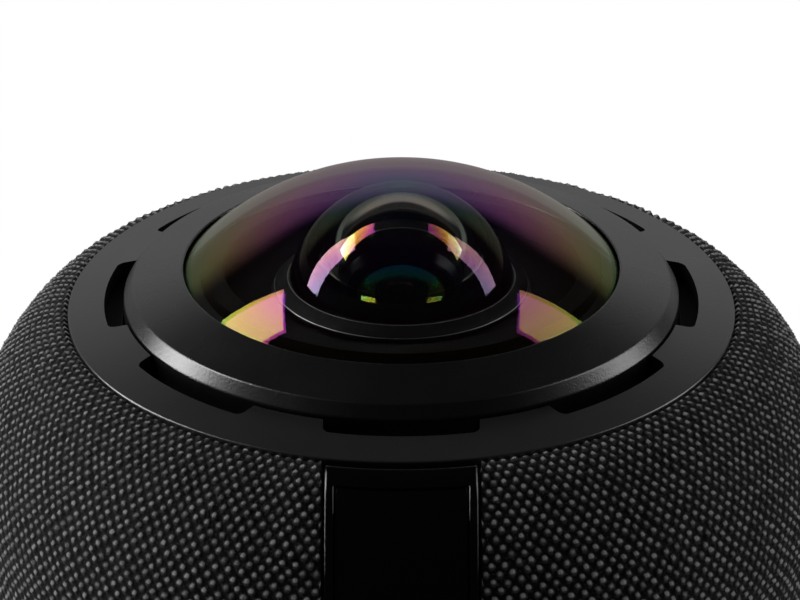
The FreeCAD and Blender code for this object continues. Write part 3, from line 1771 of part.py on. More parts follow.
def board_post_spots():
    back = socket_board_back() - z.post_inset
    front = socket_board_back() - z.socket_board_depth + z.post_inset
    side = z.socket_board_width / 2 - z.post_inset
    return [(side, back), (-side, back), (-side, front), (side, front)]


def make_connector_panel():
    body = body_layer("connector_panel", z.socket_panel_recess, z.socket_panel_depth, z.fabric_foot_height,
                      z.plate_radius)
    far = z.body_radius * 2
    sketch = new_sketch(body, "connector_panel_plan", "XZ_Plane")
    rectangle(sketch, -far, far, 0, z.rim_height + z.tool_margin)
    rounded_rectangle(sketch, z.socket_panel_half, z.socket_panel_low, z.socket_panel_high,
                      z.socket_panel_corner)
    pocket(body, sketch, "connector_panel_edge")
    side = z.socket_panel_half + z.tool_margin
    keep_inside(body, "connector_panel_back", -side, side, z.socket_panel_half,
                z.body_radius + z.tool_margin)
    sketch = new_sketch(body, "socket_hole_plan", "XZ_Plane")
    for across in (-z.socket_spread, z.socket_spread):
        pill(sketch, across, z.socket_height, z.socket_length + z.socket_fit * 2,
             z.socket_thickness + z.socket_fit * 2)
    pill(sketch, 0, z.lock_height, z.lock_length, z.lock_width)
    pocket(body, sketch, "socket_holes", far)


def pill(sketch, across, up, length, thickness):
    """A slot with round ends, centred at a place. Each end is two quarter circles."""
    radius = thickness / 2
    left, right = across - length / 2 + radius, across + length / 2 - radius
    corners = [
        (left, up - radius, "x"),
        (right, up - radius),
        (right + radius, up, "y"),
        (right, up + radius, "x"),
        (left, up + radius),
        (left - radius, up, "y"),
    ]
    outline(sketch, corners, {1: (right, up), 2: (right, up), 4: (left, up), 5: (left, up)})


def make_connector_board():
    low = socket_board_low()
    back = socket_board_back()
    board = new_body("connector_board")
    half = z.socket_board_width / 2
    slab(board, "connector_board_sheet", -half, half, back - z.socket_board_depth, back, low,
         z.board_thickness)
    sockets = new_body("usb_sockets")
    mouth = flank_radius(z.socket_height, z.socket_mouth)
    sketch = new_sketch(sockets, "socket_shell_plan", "XZ_Plane", -mouth)
    for across in (-z.socket_spread, z.socket_spread):
        pill(sketch, across, z.socket_height, z.socket_length, z.socket_thickness)
    pad(sockets, sketch, "socket_shells", z.socket_depth)
    sketch = new_sketch(sockets, "socket_hollow_plan", "XZ_Plane", -mouth)
    for across in (-z.socket_spread, z.socket_spread):
        pill(sketch, across, z.socket_height, z.socket_length - z.socket_wall * 2,
             z.socket_thickness - z.socket_wall * 2)
    pocket(sockets, sketch, "socket_hollows", z.socket_depth - z.socket_back, reverse=True)
    sketch = new_sketch(sockets, "socket_tongue_plan", "XZ_Plane", z.tongue_recess - mouth)
    half_length, half_thickness = z.tongue_length / 2, z.tongue_thickness / 2
    for across in (-z.socket_spread, z.socket_spread):
        rectangle(sketch, across - half_length, across + half_length, z.socket_height - half_thickness,
                  z.socket_height + half_thickness)
    doc.recompute()
    pad(sockets, sketch, "socket_tongues", z.socket_depth - z.socket_back / 2 - z.tongue_recess)


# Build, check and write every piece

make_top_plate()
make_bezel()
make_dome()
make_lens_housing()
make_front_element()
make_barrel()
make_sensor()
make_microphones()
make_upper_frame()
make_shell()
make_fabric()
make_control_strip()
make_button("volume_up_button", volume_up_height)
make_button("volume_down_button", volume_down_height)
make_button("mute_button", mute_height)
make_button_board()
make_status_light()
for speaker_side, speaker_angle in SPEAKERS.items():
    make_speaker(speaker_side, speaker_angle)
make_speaker_screws()
make_speaker_box()
make_chassis_deck()
make_main_board()
make_camera_ribbon()
make_base()
make_base_cover()
make_ballast()
make_foot()
make_connector_panel()
make_connector_board()
doc.recompute()

LEAST_CUT = 1e-6
for item in doc.Objects:
    if "Invalid" in item.State or "Error" in item.State:
        raise RuntimeError(f"{item.Name} failed: {item.State}")
    pocketed = item.TypeId == "PartDesign::Pocket"
    if pocketed and item.Shape.Volume > item.BaseFeature.Shape.Volume - LEAST_CUT:
        raise RuntimeError(f"{item.Name} cuts nothing")
for piece in pieces:
    shape = piece.Shape
    if shape.isNull() or not shape.isValid() or not shape.Solids:
        raise RuntimeError(f"{piece.Label} has no valid solid")
    shape.exportStep(f"parts/{piece.Label}.step")
print(f"{len(pieces)} pieces written")
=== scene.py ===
import json
from math import asin, cos, pi, radians, sin, sqrt

import bmesh
import bpy
import numpy as np
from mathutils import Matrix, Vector


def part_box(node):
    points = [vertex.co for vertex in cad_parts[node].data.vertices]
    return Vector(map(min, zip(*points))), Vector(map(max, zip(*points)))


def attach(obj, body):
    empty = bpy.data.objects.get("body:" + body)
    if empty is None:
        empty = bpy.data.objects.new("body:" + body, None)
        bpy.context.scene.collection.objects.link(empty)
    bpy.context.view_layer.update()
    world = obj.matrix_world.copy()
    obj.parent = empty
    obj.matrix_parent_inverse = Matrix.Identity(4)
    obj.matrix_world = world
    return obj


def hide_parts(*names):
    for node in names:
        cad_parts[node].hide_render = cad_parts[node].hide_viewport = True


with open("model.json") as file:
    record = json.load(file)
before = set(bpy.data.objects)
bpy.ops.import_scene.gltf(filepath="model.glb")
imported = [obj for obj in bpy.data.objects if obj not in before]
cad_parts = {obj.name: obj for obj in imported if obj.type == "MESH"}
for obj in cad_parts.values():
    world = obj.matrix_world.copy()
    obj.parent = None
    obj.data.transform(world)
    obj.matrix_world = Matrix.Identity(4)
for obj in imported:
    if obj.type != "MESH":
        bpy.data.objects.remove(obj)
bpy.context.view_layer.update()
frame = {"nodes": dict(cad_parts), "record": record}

MM = 0.001

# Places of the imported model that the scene's own pieces are built on
SOCKET_LOW, SOCKET_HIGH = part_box("connector_panel")
RIM_HEIGHT = 205.4 * MM


# Materials


class Nodes:
    """The node tree of a material or world, with short calls to add and link nodes."""

    def __init__(self, owner):
        self.tree = owner.node_tree
        self.tree.nodes.clear()

    def add(self, kind, settings=None, **inputs):
        node = self.tree.nodes.new(kind)
        for key, value in (settings or {}).items():
            setattr(node, key, value)
        for key, value in inputs.items():
            self.put(node.inputs[key.replace("_", " ")], value)
        return node

    def put(self, socket, value):
        """Links a socket to another one, or sets its value."""
        if isinstance(value, bpy.types.NodeSocket):
            self.tree.links.new(value, socket)
        else:
            socket.default_value = value

    def math(self, operation, first, second=0.0, third=0.0):
        node = self.add("ShaderNodeMath", {"operation": operation})
        for socket, value in zip(node.inputs, (first, second, third)):
            self.put(socket, value)
        return node.outputs[0]

    def squares(self, first, second):
        """The sum of two squares."""
        return self.math("ADD", self.math("POWER", first, 2.0), self.math("POWER", second, 2.0))

    def noise(self, scale, detail=3.0, roughness=0.6, vector=None):
        node = self.add("ShaderNodeTexNoise", Scale=scale, Detail=detail, Roughness=roughness)
        self.put(node.inputs["Vector"], vector or self.place())
        return node.outputs["Fac"]

    def place(self):
        return self.add("ShaderNodeTexCoord").outputs["Object"]

    def parts(self, vector):
        """The x, y and z of a vector, or red, green and blue of a colour."""
        node = self.add("ShaderNodeSeparateXYZ")
        self.put(node.inputs[0], vector)
        return node.outputs

    def pair(self, first, second):
        node = self.add("ShaderNodeCombineXYZ")
        self.put(node.inputs[0], first)
        self.put(node.inputs[1], second)
        return node.outputs[0]

    def ramp(self, value, stops):
        node = self.add("ShaderNodeValToRGB")
        self.put(node.inputs["Fac"], value)
        ramp = node.color_ramp
        while len(ramp.elements) < len(stops):
            ramp.elements.new(0.5)
        for element, (position, colour) in zip(ramp.elements, stops):
            element.position = position
            element.color = (*colour, 1.0)
        return node.outputs["Color"]

    def span(self, value, low, high):
        """A 0 to 1 value spread from low to high."""
        node = self.add("ShaderNodeMapRange")
        self.put(node.inputs["Value"], value)
        node.inputs["To Min"].default_value = low
        node.inputs["To Max"].default_value = high
        return node.outputs["Result"]

    def span_from(self, value, low, high):
        """A smooth 0 to 1 value as the input goes from low to high."""
        node = self.add("ShaderNodeMapRange", {"interpolation_type": "SMOOTHSTEP"})
        self.put(node.inputs["Value"], value)
        node.inputs["From Min"].default_value = low
        node.inputs["From Max"].default_value = high
        return node.outputs["Result"]

    def bump(self, height, strength, distance):
        node = self.add("ShaderNodeBump", Strength=strength, Distance=distance)
        self.put(node.inputs["Height"], height)
        return node

    def finish(self, shader):
        self.put(self.add("ShaderNodeOutputMaterial").inputs["Surface"], shader.outputs[0])


def grey(level):
    return (level, level, level)


# Every finish under its name
FINISH = {}


def new_material(name):
    """Adds a material to FINISH, and gives its nodes."""
    material = bpy.data.materials.new(name)
    material.use_nodes = True
    FINISH[name] = material
    return Nodes(material)


def principled(nodes, **inputs):
    return nodes.add("ShaderNodeBsdfPrincipled", **inputs)


# The mottle's patches are so many times wider than the grain
MOTTLE_SIZE = 40
GRAIN_STRENGTH = 0.6
BEVEL_SAMPLES = 6


def moulded(name, dark, light, rough, grain_scale, grain_depth, rough_spread=0.08, specular=0.5, edge=0.0):
    """Moulded plastic or paint: a fine grain in colour, roughness and relief, and softly rounded edges."""
    n = new_material(name)
    grain = n.noise(grain_scale)
    wide = n.noise(grain_scale / MOTTLE_SIZE, 2.0)
    mottle = n.math("MULTIPLY_ADD", grain, 0.6, n.math("MULTIPLY", wide, 0.4))
    colour = n.ramp(mottle, [(0.3, dark), (0.7, light)])
    shader = principled(n, Base_Color=colour, Specular_IOR_Level=specular)
    n.put(shader.inputs["Roughness"], n.span(wide, rough - rough_spread, rough + rough_spread))
    relief = n.bump(grain, GRAIN_STRENGTH, grain_depth)
    if edge:
        rounded = n.add("ShaderNodeBevel", {"samples": BEVEL_SAMPLES}, Radius=edge)
        n.put(relief.inputs["Normal"], rounded.outputs["Normal"])
    n.put(shader.inputs["Normal"], relief.outputs["Normal"])
    n.finish(shader)


METAL_GRAIN = 900.0


def metal(name, dark, light, rough):
    """Bare or plated metal with a fine grain in colour, roughness and relief."""
    n = new_material(name)
    grain = n.noise(METAL_GRAIN)
    shader = principled(n, Base_Color=n.ramp(grain, [(0.25, dark), (0.75, light)]), Metallic=1.0)
    n.put(shader.inputs["Roughness"], n.span(grain, rough - 0.06, rough + 0.06))
    n.put(shader.inputs["Normal"], n.bump(grain, 0.2, 0.02 * MM).outputs["Normal"])
    n.finish(shader)


def coated_glass(name, tint, film, index, film_index, outward=0.0, forward=0.0, thickest=900.0, smear=0.008):
    """Clear glass with a thin blooming layer and faint smears.

    film is the layer's thickness in nm on the object's axis. It grows by outward nm for each mm away from
    the axis and by forward nm for each mm towards the front, up to thickest.
    """
    n = new_material(name)
    shader = principled(n, Base_Color=(*tint, 1.0), Transmission_Weight=1.0, IOR=index)
    x, y, _ = n.parts(n.place())
    layer = n.math("MULTIPLY_ADD", n.math("SQRT", n.squares(x, y)), outward / MM, film)
    layer = n.math("MULTIPLY_ADD", y, -forward / MM, layer)
    n.put(shader.inputs["Thin Film Thickness"], n.math("MINIMUM", layer, thickest))
    shader.inputs["Thin Film IOR"].default_value = film_index
    haze = n.noise(120.0, 4.0)
    n.put(shader.inputs["Roughness"], n.span(haze, 0.0, smear))
    n.finish(shader)


# Half sizes and shifts of a yarn knuckle's parts, of the painted highlight on its upper cap and of the
# painted shade under it, as shares of the lattice's pitch
KNUCKLE_HALF = (0.33, 0.30)
HIGHLIGHT_HALF = (0.23, 0.18)
# The painted highlight sits this far up the knuckle, on the side that the light falls on
HIGHLIGHT_SHIFT = 0.06
# Painted shade: a darker oval below the highlight, on the knuckle's lower side that the light misses
UNDER_SHADE_HALF = (0.12, 0.12)
UNDER_SHADE_SHIFT = 0.12
UNDER_SHADE_DEPTH = -0.8
SIDE_JITTER = 0.06
LENGTH_JITTER = 0.05
# How much the painted highlight on the knuckle's upper cap, the knuckle's body and the stray fibres add to
# the colour
HIGHLIGHT_SHARE = 0.85
BODY_SHARE = 0.14
STRAY_SHARE = 0.09
# Keeps the random numbers of the two halves of the lattice apart
HALF_LATTICE_SEED = 500.0


def weave_material(name, gap_shade, knuckle):
    """Woven yarn on the piece's own lattice map: round knuckles, painted highlights on their upper caps with
    painted shade under them, painted shade in the gaps, and stray fibres.
    """
    n = new_material(name)
    across, along, _ = n.parts(n.add("ShaderNodeUVMap", {"uv_map": "weave"}).outputs["UV"])

    def dome(u, v, half):
        """1 in the middle of an oval of the lattice, 0 outside it."""
        square = n.squares(n.math("DIVIDE", u, half[0]), n.math("DIVIDE", v, half[1]))
        return n.math("MAXIMUM", n.math("SUBTRACT", 1.0, square), 0.0)

    def knuckle_set(shift):
        """Body and painted highlight of the nearest knuckle of one half of the staggered lattice, with
        painted shade under the highlight.
        """
        u_from = n.math("ADD", across, 0.5 + shift)
        v_from = n.math("ADD", along, 0.5 + shift)
        u = n.math("SUBTRACT", n.math("FRACT", u_from), 0.5)
        v = n.math("SUBTRACT", n.math("FRACT", v_from), 0.5)
        chance = n.add("ShaderNodeTexWhiteNoise", {"noise_dimensions": "2D"})
        row = n.math("ADD", n.math("FLOOR", v_from), HALF_LATTICE_SEED * shift)
        n.put(chance.inputs["Vector"], n.pair(n.math("FLOOR", u_from), row))
        bright = n.span(chance.outputs["Value"], 0.45, 1.6)
        aside, onward, _ = n.parts(chance.outputs["Color"])
        u = n.math("ADD", u, n.span(aside, -SIDE_JITTER, SIDE_JITTER))
        v = n.math("ADD", v, n.span(onward, -LENGTH_JITTER, LENGTH_JITTER))
        body = dome(u, v, KNUCKLE_HALF)
        # Painted highlight: a lighter oval shifted up the knuckle, where the light falls, made brighter or
        # dimmer at random
        highlight = n.math("MULTIPLY", dome(u, n.math("ADD", v, HIGHLIGHT_SHIFT), HIGHLIGHT_HALF), bright)
        # Painted shade under the highlight darkens the knuckle's lower side
        under_shade = dome(u, n.math("SUBTRACT", v, UNDER_SHADE_SHIFT), UNDER_SHADE_HALF)
        highlight = n.math("MULTIPLY", highlight, n.math("MULTIPLY_ADD", under_shade, UNDER_SHADE_DEPTH, 1.0))
        return body, highlight

    body_a, highlight_a = knuckle_set(0.0)
    body_b, highlight_b = knuckle_set(0.5)
    body = n.math("MAXIMUM", body_a, body_b)
    highlight = n.math("MAXIMUM", highlight_a, highlight_b)
    stretched = n.pair(n.math("MULTIPLY", across, 9.0), n.math("MULTIPLY", along, 4.5))
    fibre = n.noise(1.0, 3.0, 0.8, stretched)
    fluff = n.noise(5200.0, 2.0, 0.7)
    stray = n.span_from(n.noise(3000.0, 2.0, 0.8), 0.54, 0.68)
    shade = n.math("MULTIPLY_ADD", highlight, HIGHLIGHT_SHARE, n.math("MULTIPLY", body, BODY_SHARE))
    shade = n.math("MULTIPLY_ADD", stray, STRAY_SHARE, shade)
    shade = n.math("MULTIPLY", shade, n.math("MAXIMUM", n.span(fibre, -0.5, 2.5), 0.05))
    shade = n.math("MULTIPLY", shade, n.span(fluff, 0.3, 1.7))
    # The colour runs from painted shade in the gaps between knuckles to the knuckles' colour under the
    # painted highlights
    shader = principled(n, Base_Color=n.ramp(shade, [(0.0, gap_shade), (1.0, knuckle)]), Roughness=0.8,
                        Sheen_Weight=0.06, Sheen_Roughness=0.5, Specular_IOR_Level=0.12)
    relief = n.math("MULTIPLY_ADD", fibre, 0.3, body)
    n.put(shader.inputs["Normal"], n.bump(relief, 0.6, 0.2 * MM).outputs["Normal"])
    n.finish(shader)


def board_material(name, dark, light):
    """Circuit board: lacquer over darker tracks."""
    n = new_material(name)
    cells = n.add("ShaderNodeTexVoronoi", {"feature": "DISTANCE_TO_EDGE", "distance": "MANHATTAN"},
                  Scale=700.0)
    n.put(cells.inputs["Vector"], n.place())
    tracks = n.math("GREATER_THAN", cells.outputs["Distance"], 0.12)
    shader = principled(n, Base_Color=n.ramp(tracks, [(0.0, light), (1.0, dark)]), Roughness=0.38)
    n.put(shader.inputs["Normal"], n.bump(tracks, 0.3, 0.03 * MM).outputs["Normal"])
    n.finish(shader)


def light_pipe_material(name, colour):
    """Milky plastic, a little cloudy."""
    n = new_material(name)
    cloudy = tuple(channel * 0.85 for channel in colour)
    clouds = n.ramp(n.noise(600.0), [(0.3, colour), (0.7, cloudy)])
    n.finish(principled(n, Base_Color=clouds, Roughness=0.35))


# Every slot of the record, and the finishes that some nodes and pieces have of their own
moulded("satin_black", grey(0.001), grey(0.003), 0.27, 3400.0, 0.045 * MM, 0.04, 1.0,
        edge=0.22 * MM)
moulded("plate_black", grey(0.008), grey(0.012), 0.29, 3400.0, 0.03 * MM, 0.04, 1.0)
coated_glass("clear_dome", grey(1.0), 828.0, 1.5, 1.25, outward=-5.6, forward=-7.9,
             thickest=835.0, smear=0.012)
coated_glass("coated_glass", (0.98, 1.0, 0.99), 290.0, 1.6, 1.45, outward=19.5)
coated_glass("hollow_glass", (0.98, 1.0, 0.99), 672.0, 1.6, 1.28, outward=-19.0)
coated_glass("inner_glass", (0.10, 0.14, 0.12), 520.0, 1.5, 1.25)
coated_glass("filter_glass", (0.6, 0.85, 0.9), 300.0, 1.6, 1.3)
moulded("matt_black", grey(0.003), grey(0.008), 0.6, 3000.0, 0.02 * MM, specular=0.12)
moulded("black_aluminium", grey(0.002), grey(0.006), 0.3, 3500.0, 0.004 * MM, specular=0.15)
metal("bright_edge", grey(0.20), grey(0.30), 0.5)
metal("plain_aluminium", grey(0.55), grey(0.68), 0.38)
moulded("black_rubber", grey(0.010), grey(0.020), 0.75, 2600.0, 0.03 * MM)
moulded("sensor_package", (0.03, 0.03, 0.05), (0.06, 0.05, 0.09), 0.25, 2000.0, 0.004 * MM)
board_material("circuit_board", (0.008, 0.05, 0.02), (0.03, 0.12, 0.05))
moulded("acoustic_mesh", grey(0.002), grey(0.008), 0.8, 6000.0, 0.05 * MM)
metal("plated_steel", grey(0.5), grey(0.62), 0.3)
metal("black_steel", grey(0.03), grey(0.06), 0.4)
moulded("chip_black", grey(0.012), grey(0.022), 0.6, 4200.0, 0.02 * MM)
moulded("ribbon_film", (0.20, 0.09, 0.02), (0.28, 0.13, 0.03), 0.35, 1500.0, 0.005 * MM)
# The first grey is painted shade in the gaps between knuckles, the second the knuckles' colour under the
# painted highlights
weave_material("woven_fabric", grey(0.002), grey(0.26))
moulded("gloss_black", grey(0.001), grey(0.002), 0.07, 900.0, 0.0008 * MM, 0.03,
        edge=0.35 * MM)
moulded("button_black", grey(0.014), grey(0.022), 0.25, 3500.0, 0.004 * MM)
light_pipe_material("light_pipe", (0.55, 0.58, 0.6))
moulded("speaker_paper", grey(0.016), grey(0.032), 0.85, 2400.0, 0.06 * MM)
metal("brass", (0.55, 0.38, 0.14), (0.68, 0.48, 0.20), 0.3)

# Nodes whose look differs a little from the rest of their slot
OWN_FINISH = {
    "second_element": "inner_glass",
    "third_element": "inner_glass",
    "rear_element": "inner_glass",
    "top_plate": "plate_black",
}


def dress_frame():
    """Gives every CAD node the finish of its slot in the record, or its own."""
    slots = {part["node"]: part["material_slot"] for part in frame["record"]["subparts"]}
    for name, node in frame["nodes"].items():
        finish = FINISH[OWN_FINISH.get(name, slots[name])]
        if not node.data.materials:
            node.data.materials.append(finish)
        for index in range(len(node.data.materials)):
            node.data.materials[index] = finish


def place_piece(name, mesh, slot, replaced):
    """Puts a new piece in the scene, in the place of a CAD node of the camera's body."""
    piece = bpy.data.objects.new(name, mesh)
    bpy.context.collection.objects.link(piece)
    mesh.materials.append(FINISH[slot])
    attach(piece, "camera_body")
    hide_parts(replaced)
    return piece


# Woven sleeve

# The section: an upper and a lower arc over the shoulder, and a leaning flank
BODY_RADIUS = 55.5 * MM
SHOULDER_DROP = 23.2 * MM
LOW_ARC = 28.4 * MM
HIGH_ARC = 11.7 * MM
SHOULDER_TURN = radians(46.0)
SIDE_LEAN = radians(2.4)
SLEEVE_EDGE_RADIUS = 42.35 * MM
SLEEVE_FOOT = 12.0 * MM

# The weave
WALES = 200
ROW_PITCH = 0.97 * MM
COLUMNS_PER_WALE = 4
STEPS_PER_ROW = 2
KNUCKLE_RISE = 0.42 * MM
HIGHEST_RISE = 1.15
RELIEF_HALF = (0.33, 0.29)
UNDER_KNUCKLES = 0.06 * MM
WANDER_ACROSS = 0.05
WANDER_ALONG = 0.045
SWELL = 0.2

# The openings and the edges turned in
HEM = 0.55 * MM
TOP_EDGE_BAND = 2 * MM
OPENING_HALF = 9.32 * MM
SOCKET_GAP = 0.15 * MM


def sleeve_section(depth):
    """The sleeve's section at a depth inside the body's outline, and its length.

    The section is a function of the length from the plate's edge. It gives the radius, the height and the
    outward normal's angle above the horizontal.
    """
    low = (BODY_RADIUS - LOW_ARC, RIM_HEIGHT - SHOULDER_DROP)
    step = LOW_ARC - HIGH_ARC
    high = (low[0] + step * cos(SHOULDER_TURN), low[1] + step * sin(SHOULDER_TURN))
    high_reach, low_reach = HIGH_ARC - depth, LOW_ARC - depth
    start = asin((SLEEVE_EDGE_RADIUS - high[0]) / high_reach)
    high_length = high_reach * (pi / 2 - SHOULDER_TURN - start)
    low_length = low_reach * (SHOULDER_TURN + SIDE_LEAN)
    flank_top = (low[0] + low_reach * cos(SIDE_LEAN), low[1] - low_reach * sin(SIDE_LEAN))
    flank_length = (flank_top[1] - SLEEVE_FOOT) / cos(SIDE_LEAN)

    def at(length):
        if length < high_length:
            turn = pi / 2 - start - length / high_reach
            return high[0] + high_reach * cos(turn), high[1] + high_reach * sin(turn), turn
        length -= high_length
        if length < low_length:
            turn = SHOULDER_TURN - length / low_reach
            return low[0] + low_reach * cos(turn), low[1] + low_reach * sin(turn), turn
        length -= low_length
        return flank_top[0] - length * sin(SIDE_LEAN), flank_top[1] - length * cos(SIDE_LEAN), -SIDE_LEAN

    return at, high_length + low_length + flank_length


def smooth_noise(rng, shape, coarse):
    """Random values that change slowly over a grid that closes on itself sideways."""
    rows, columns = max(2, shape[0] // coarse), max(2, shape[1] // coarse)
    grid = rng.standard_normal((rows + 2, columns))
    y = np.linspace(0, rows, shape[0])
    x = np.arange(shape[1]) * columns / shape[1]
    y0, x0 = y.astype(int), x.astype(int)
    fy, fx = (y - y0)[:, None], (x - x0)[None, :]
    y1, x1 = y0 + 1, (x0 + 1) % columns
    top = grid[y0][:, x0] * (1 - fx) + grid[y0][:, x1] * fx
    low = grid[y1][:, x0] * (1 - fx) + grid[y1][:, x1] * fx
    return top * (1 - fy) + low * fy


def knuckles(u, v):
    """Relief of the staggered lattice, 0 in the gaps and 1 on a knuckle."""
    best = np.zeros_like(u)
    for shift in (0.0, 0.5):
        du = (u + 0.5 + shift) % 1.0 - 0.5
        dv = (v + 0.5 + shift) % 1.0 - 0.5
        best = np.maximum(best, 1 - (du / RELIEF_HALF[0]) ** 2 - (dv / RELIEF_HALF[1]) ** 2)
    return np.sqrt(np.clip(best, 0, 1))


def sleeve_grid():
    """The cloth's points on a grid that follows the weave, their lattice places, and the cloth's length."""
    rng = np.random.default_rng(7)
    at, total = sleeve_section(KNUCKLE_RISE + UNDER_KNUCKLES)
    columns = WALES * COLUMNS_PER_WALE
    rows = int(total / ROW_PITCH * STEPS_PER_ROW)
    lengths = np.linspace(0, total, rows + 1)
    section = np.array([at(length) for length in lengths])
    turns = np.arange(columns) * 2 * pi / columns
    u = np.tile(np.arange(columns) / COLUMNS_PER_WALE, (rows + 1, 1))
    v = np.tile((lengths / (2 * ROW_PITCH))[:, None], (1, columns))
    u += smooth_noise(rng, u.shape, 5) * WANDER_ACROSS
    v += smooth_noise(rng, u.shape, 5) * WANDER_ALONG
    swell = 1 + smooth_noise(rng, u.shape, 4) * SWELL
    relief = knuckles(u, v) * KNUCKLE_RISE * swell
    relief = np.clip(relief, 0, KNUCKLE_RISE * HIGHEST_RISE)
    radius = section[:, 0:1] + relief * np.cos(section[:, 2:3])
    height = section[:, 1:2] + relief * np.sin(section[:, 2:3])
    angle = turns[None, :] + 0 * radius
    points = np.stack([radius * np.sin(angle), -radius * np.cos(angle), height], axis=-1)
    return points, u, v, total


def sides_of(x):
    return np.where(x < 0, -1.0, 1.0)


def straighten_strip(p):
    """Moves points at the strip's opening to its straight side edges, on the same radius."""
    reach = np.hypot(p[:, 0], p[:, 1])
    p[:, 0] = sides_of(p[:, 0]) * OPENING_HALF
    p[:, 1] = -np.sqrt(reach ** 2 - OPENING_HALF ** 2)


def straighten_socket(p, half, low, high):
    """Moves points at the sockets' opening to the nearest of its straight edges, on the same radius."""
    reach = np.hypot(p[:, 0], p[:, 1])
    gaps = np.stack([half - np.abs(p[:, 0]), p[:, 2] - low, high - p[:, 2]])
    nearest = np.argmin(gaps, axis=0)
    p[:, 0] = np.where(nearest == 0, sides_of(p[:, 0]) * half, p[:, 0])
    p[:, 1] = np.sqrt(reach ** 2 - p[:, 0] ** 2)
    p[:, 2] = np.where(nearest == 1, low, np.where(nearest == 2, high, p[:, 2]))


def cut_openings(points):
    """Flat points and quads of the grid, with straight-edged openings for the strip and the sockets."""
    rows, columns = points.shape[:2]
    x, height = np.abs(points[..., 0]), points[..., 2]
    front = points[..., 1] < 0
    half = SOCKET_HIGH[0] + SOCKET_GAP
    low, high = SOCKET_LOW[2] - SOCKET_GAP, SOCKET_HIGH[2] + SOCKET_GAP
    in_strip = (front & (x < OPENING_HALF)).reshape(-1)
    in_socket = (~front & (x < half) & (height > low) & (height < high)).reshape(-1)
    gone = in_strip | in_socket
    index = np.arange(rows * columns).reshape(rows, columns)
    right = np.roll(index, -1, axis=1)
    quads = np.stack([index[:-1], index[1:], right[1:], right[:-1]], axis=-1).reshape(-1, 4)
    # A quad stays where one of its corners does, and its lost corners move to the opening's edge.
    quads = quads[~gone[quads].all(axis=1)]
    flat = points.reshape(-1, 3)
    edge = np.zeros(len(flat), bool)
    edge[np.unique(quads)] = True
    edge &= gone
    at_strip, at_socket = edge & in_strip, edge & in_socket
    moved = flat[at_strip]
    straighten_strip(moved)
    flat[at_strip] = moved
    moved = flat[at_socket]
    straighten_socket(moved, half, low, high)
    flat[at_socket] = moved
    return flat, quads


def turn_in_hems(flat, quads):
    """Adds the cloth's edges, turned in as glued hems. Also gives the points that they start from."""
    pairs = np.concatenate([quads[:, [0, 1]], quads[:, [1, 2]], quads[:, [2, 3]], quads[:, [3, 0]]])
    _, first, count = np.unique(np.sort(pairs, axis=1), axis=0, return_index=True, return_counts=True)
    rim = pairs[first[count == 1]]
    rim_points = np.unique(rim)
    inner = flat[rim_points].copy()
    pull = 1 - HEM / np.hypot(inner[:, 0], inner[:, 1])
    inner[:, 0] *= pull
    inner[:, 1] *= pull
    inner[inner[:, 2] > RIM_HEIGHT - TOP_EDGE_BAND, 2] -= HEM
    where = np.full(len(flat), -1)
    where[rim_points] = np.arange(len(rim_points)) + len(flat)
    hem = np.stack([rim[:, 1], rim[:, 0], where[rim[:, 0]], where[rim[:, 1]]], axis=-1)
    return np.concatenate([flat, inner]), np.concatenate([quads, hem]), rim_points


def drop_unused(flat, faces, *rows):
    """Leaves out the points that no face uses, and renumbers the faces."""
    used = np.unique(faces)
    renumber = np.full(len(flat), -1)
    renumber[used] = np.arange(len(used))
    return [flat[used], renumber[faces], *(row[used] for row in rows)]


def quad_mesh(name, flat, faces):
    mesh = bpy.data.meshes.new(name)
    mesh.vertices.add(len(flat))
    mesh.vertices.foreach_set("co", flat.reshape(-1))
    mesh.loops.add(faces.size)
    mesh.loops.foreach_set("vertex_index", faces.reshape(-1).astype(np.int32))
    mesh.polygons.add(len(faces))
    mesh.polygons.foreach_set("loop_start", np.arange(0, faces.size, 4, dtype=np.int32))
    mesh.update(calc_edges=True)
    mesh.validate()
    mesh.polygons.foreach_set("use_smooth", np.ones(len(faces), bool))
    return mesh


def make_sleeve():
    """The woven cover, with real knuckles, cut open for the strip and the sockets."""
    points, u, v, length = sleeve_grid()
    flat, quads = cut_openings(points)
    flat, faces, rim_points = turn_in_hems(flat, quads)
    u, v = u.reshape(-1), v.reshape(-1)
    u, v = np.concatenate([u, u[rim_points]]), np.concatenate([v, v[rim_points]])
    flat, faces, u, v = drop_unused(flat, faces, u, v)
    mesh = quad_mesh("woven_sleeve", flat, faces)
    corner_u, corner_v = u[faces], v[faces]
    # Where the lattice closes on itself, the low corners go once round
    seam = corner_u.max(axis=1) - corner_u.min(axis=1) > WALES / 2
    corner_u[seam] = np.where(corner_u[seam] < WALES / 2, corner_u[seam] + WALES, corner_u[seam])
    layer = mesh.uv_layers.new(name="weave")
    layer.data.foreach_set("uv", np.stack([corner_u, corner_v], axis=-1).reshape(-1).astype(np.float32))
    sleeve = place_piece("woven_sleeve", mesh, "woven_fabric", "fabric_sleeve")


# Front lens and its ring

LENS_RADIUS = 14.2 * MM
LENS_BALL = 14.45 * MM
LENS_TOP = RIM_HEIGHT + 14.75 * MM
LENS_SEAT = RIM_HEIGHT + 1.5 * MM
LENS_HOLLOW = 8.6 * MM
LENS_THICKNESS = 2.6 * MM
LENS_WALL_HEIGHT = 3 * MM
ARC_STEPS = 64
TURNED_SIDES = 192
SHARP_ANGLE = radians(30)

# Radius and height above the rim of the ring's section, in mm
RING_SECTION = [(14.25, 2.55), (14.25, 2.98), (14.11, 3.50), (14.12, 3.58), (14.18, 3.64), (14.28, 3.60),
                (15.84, 2.66), (15.90, 2.58), (15.90, 2.10), (14.95, 2.10), (14.95, 2.55), (14.25, 2.55)]


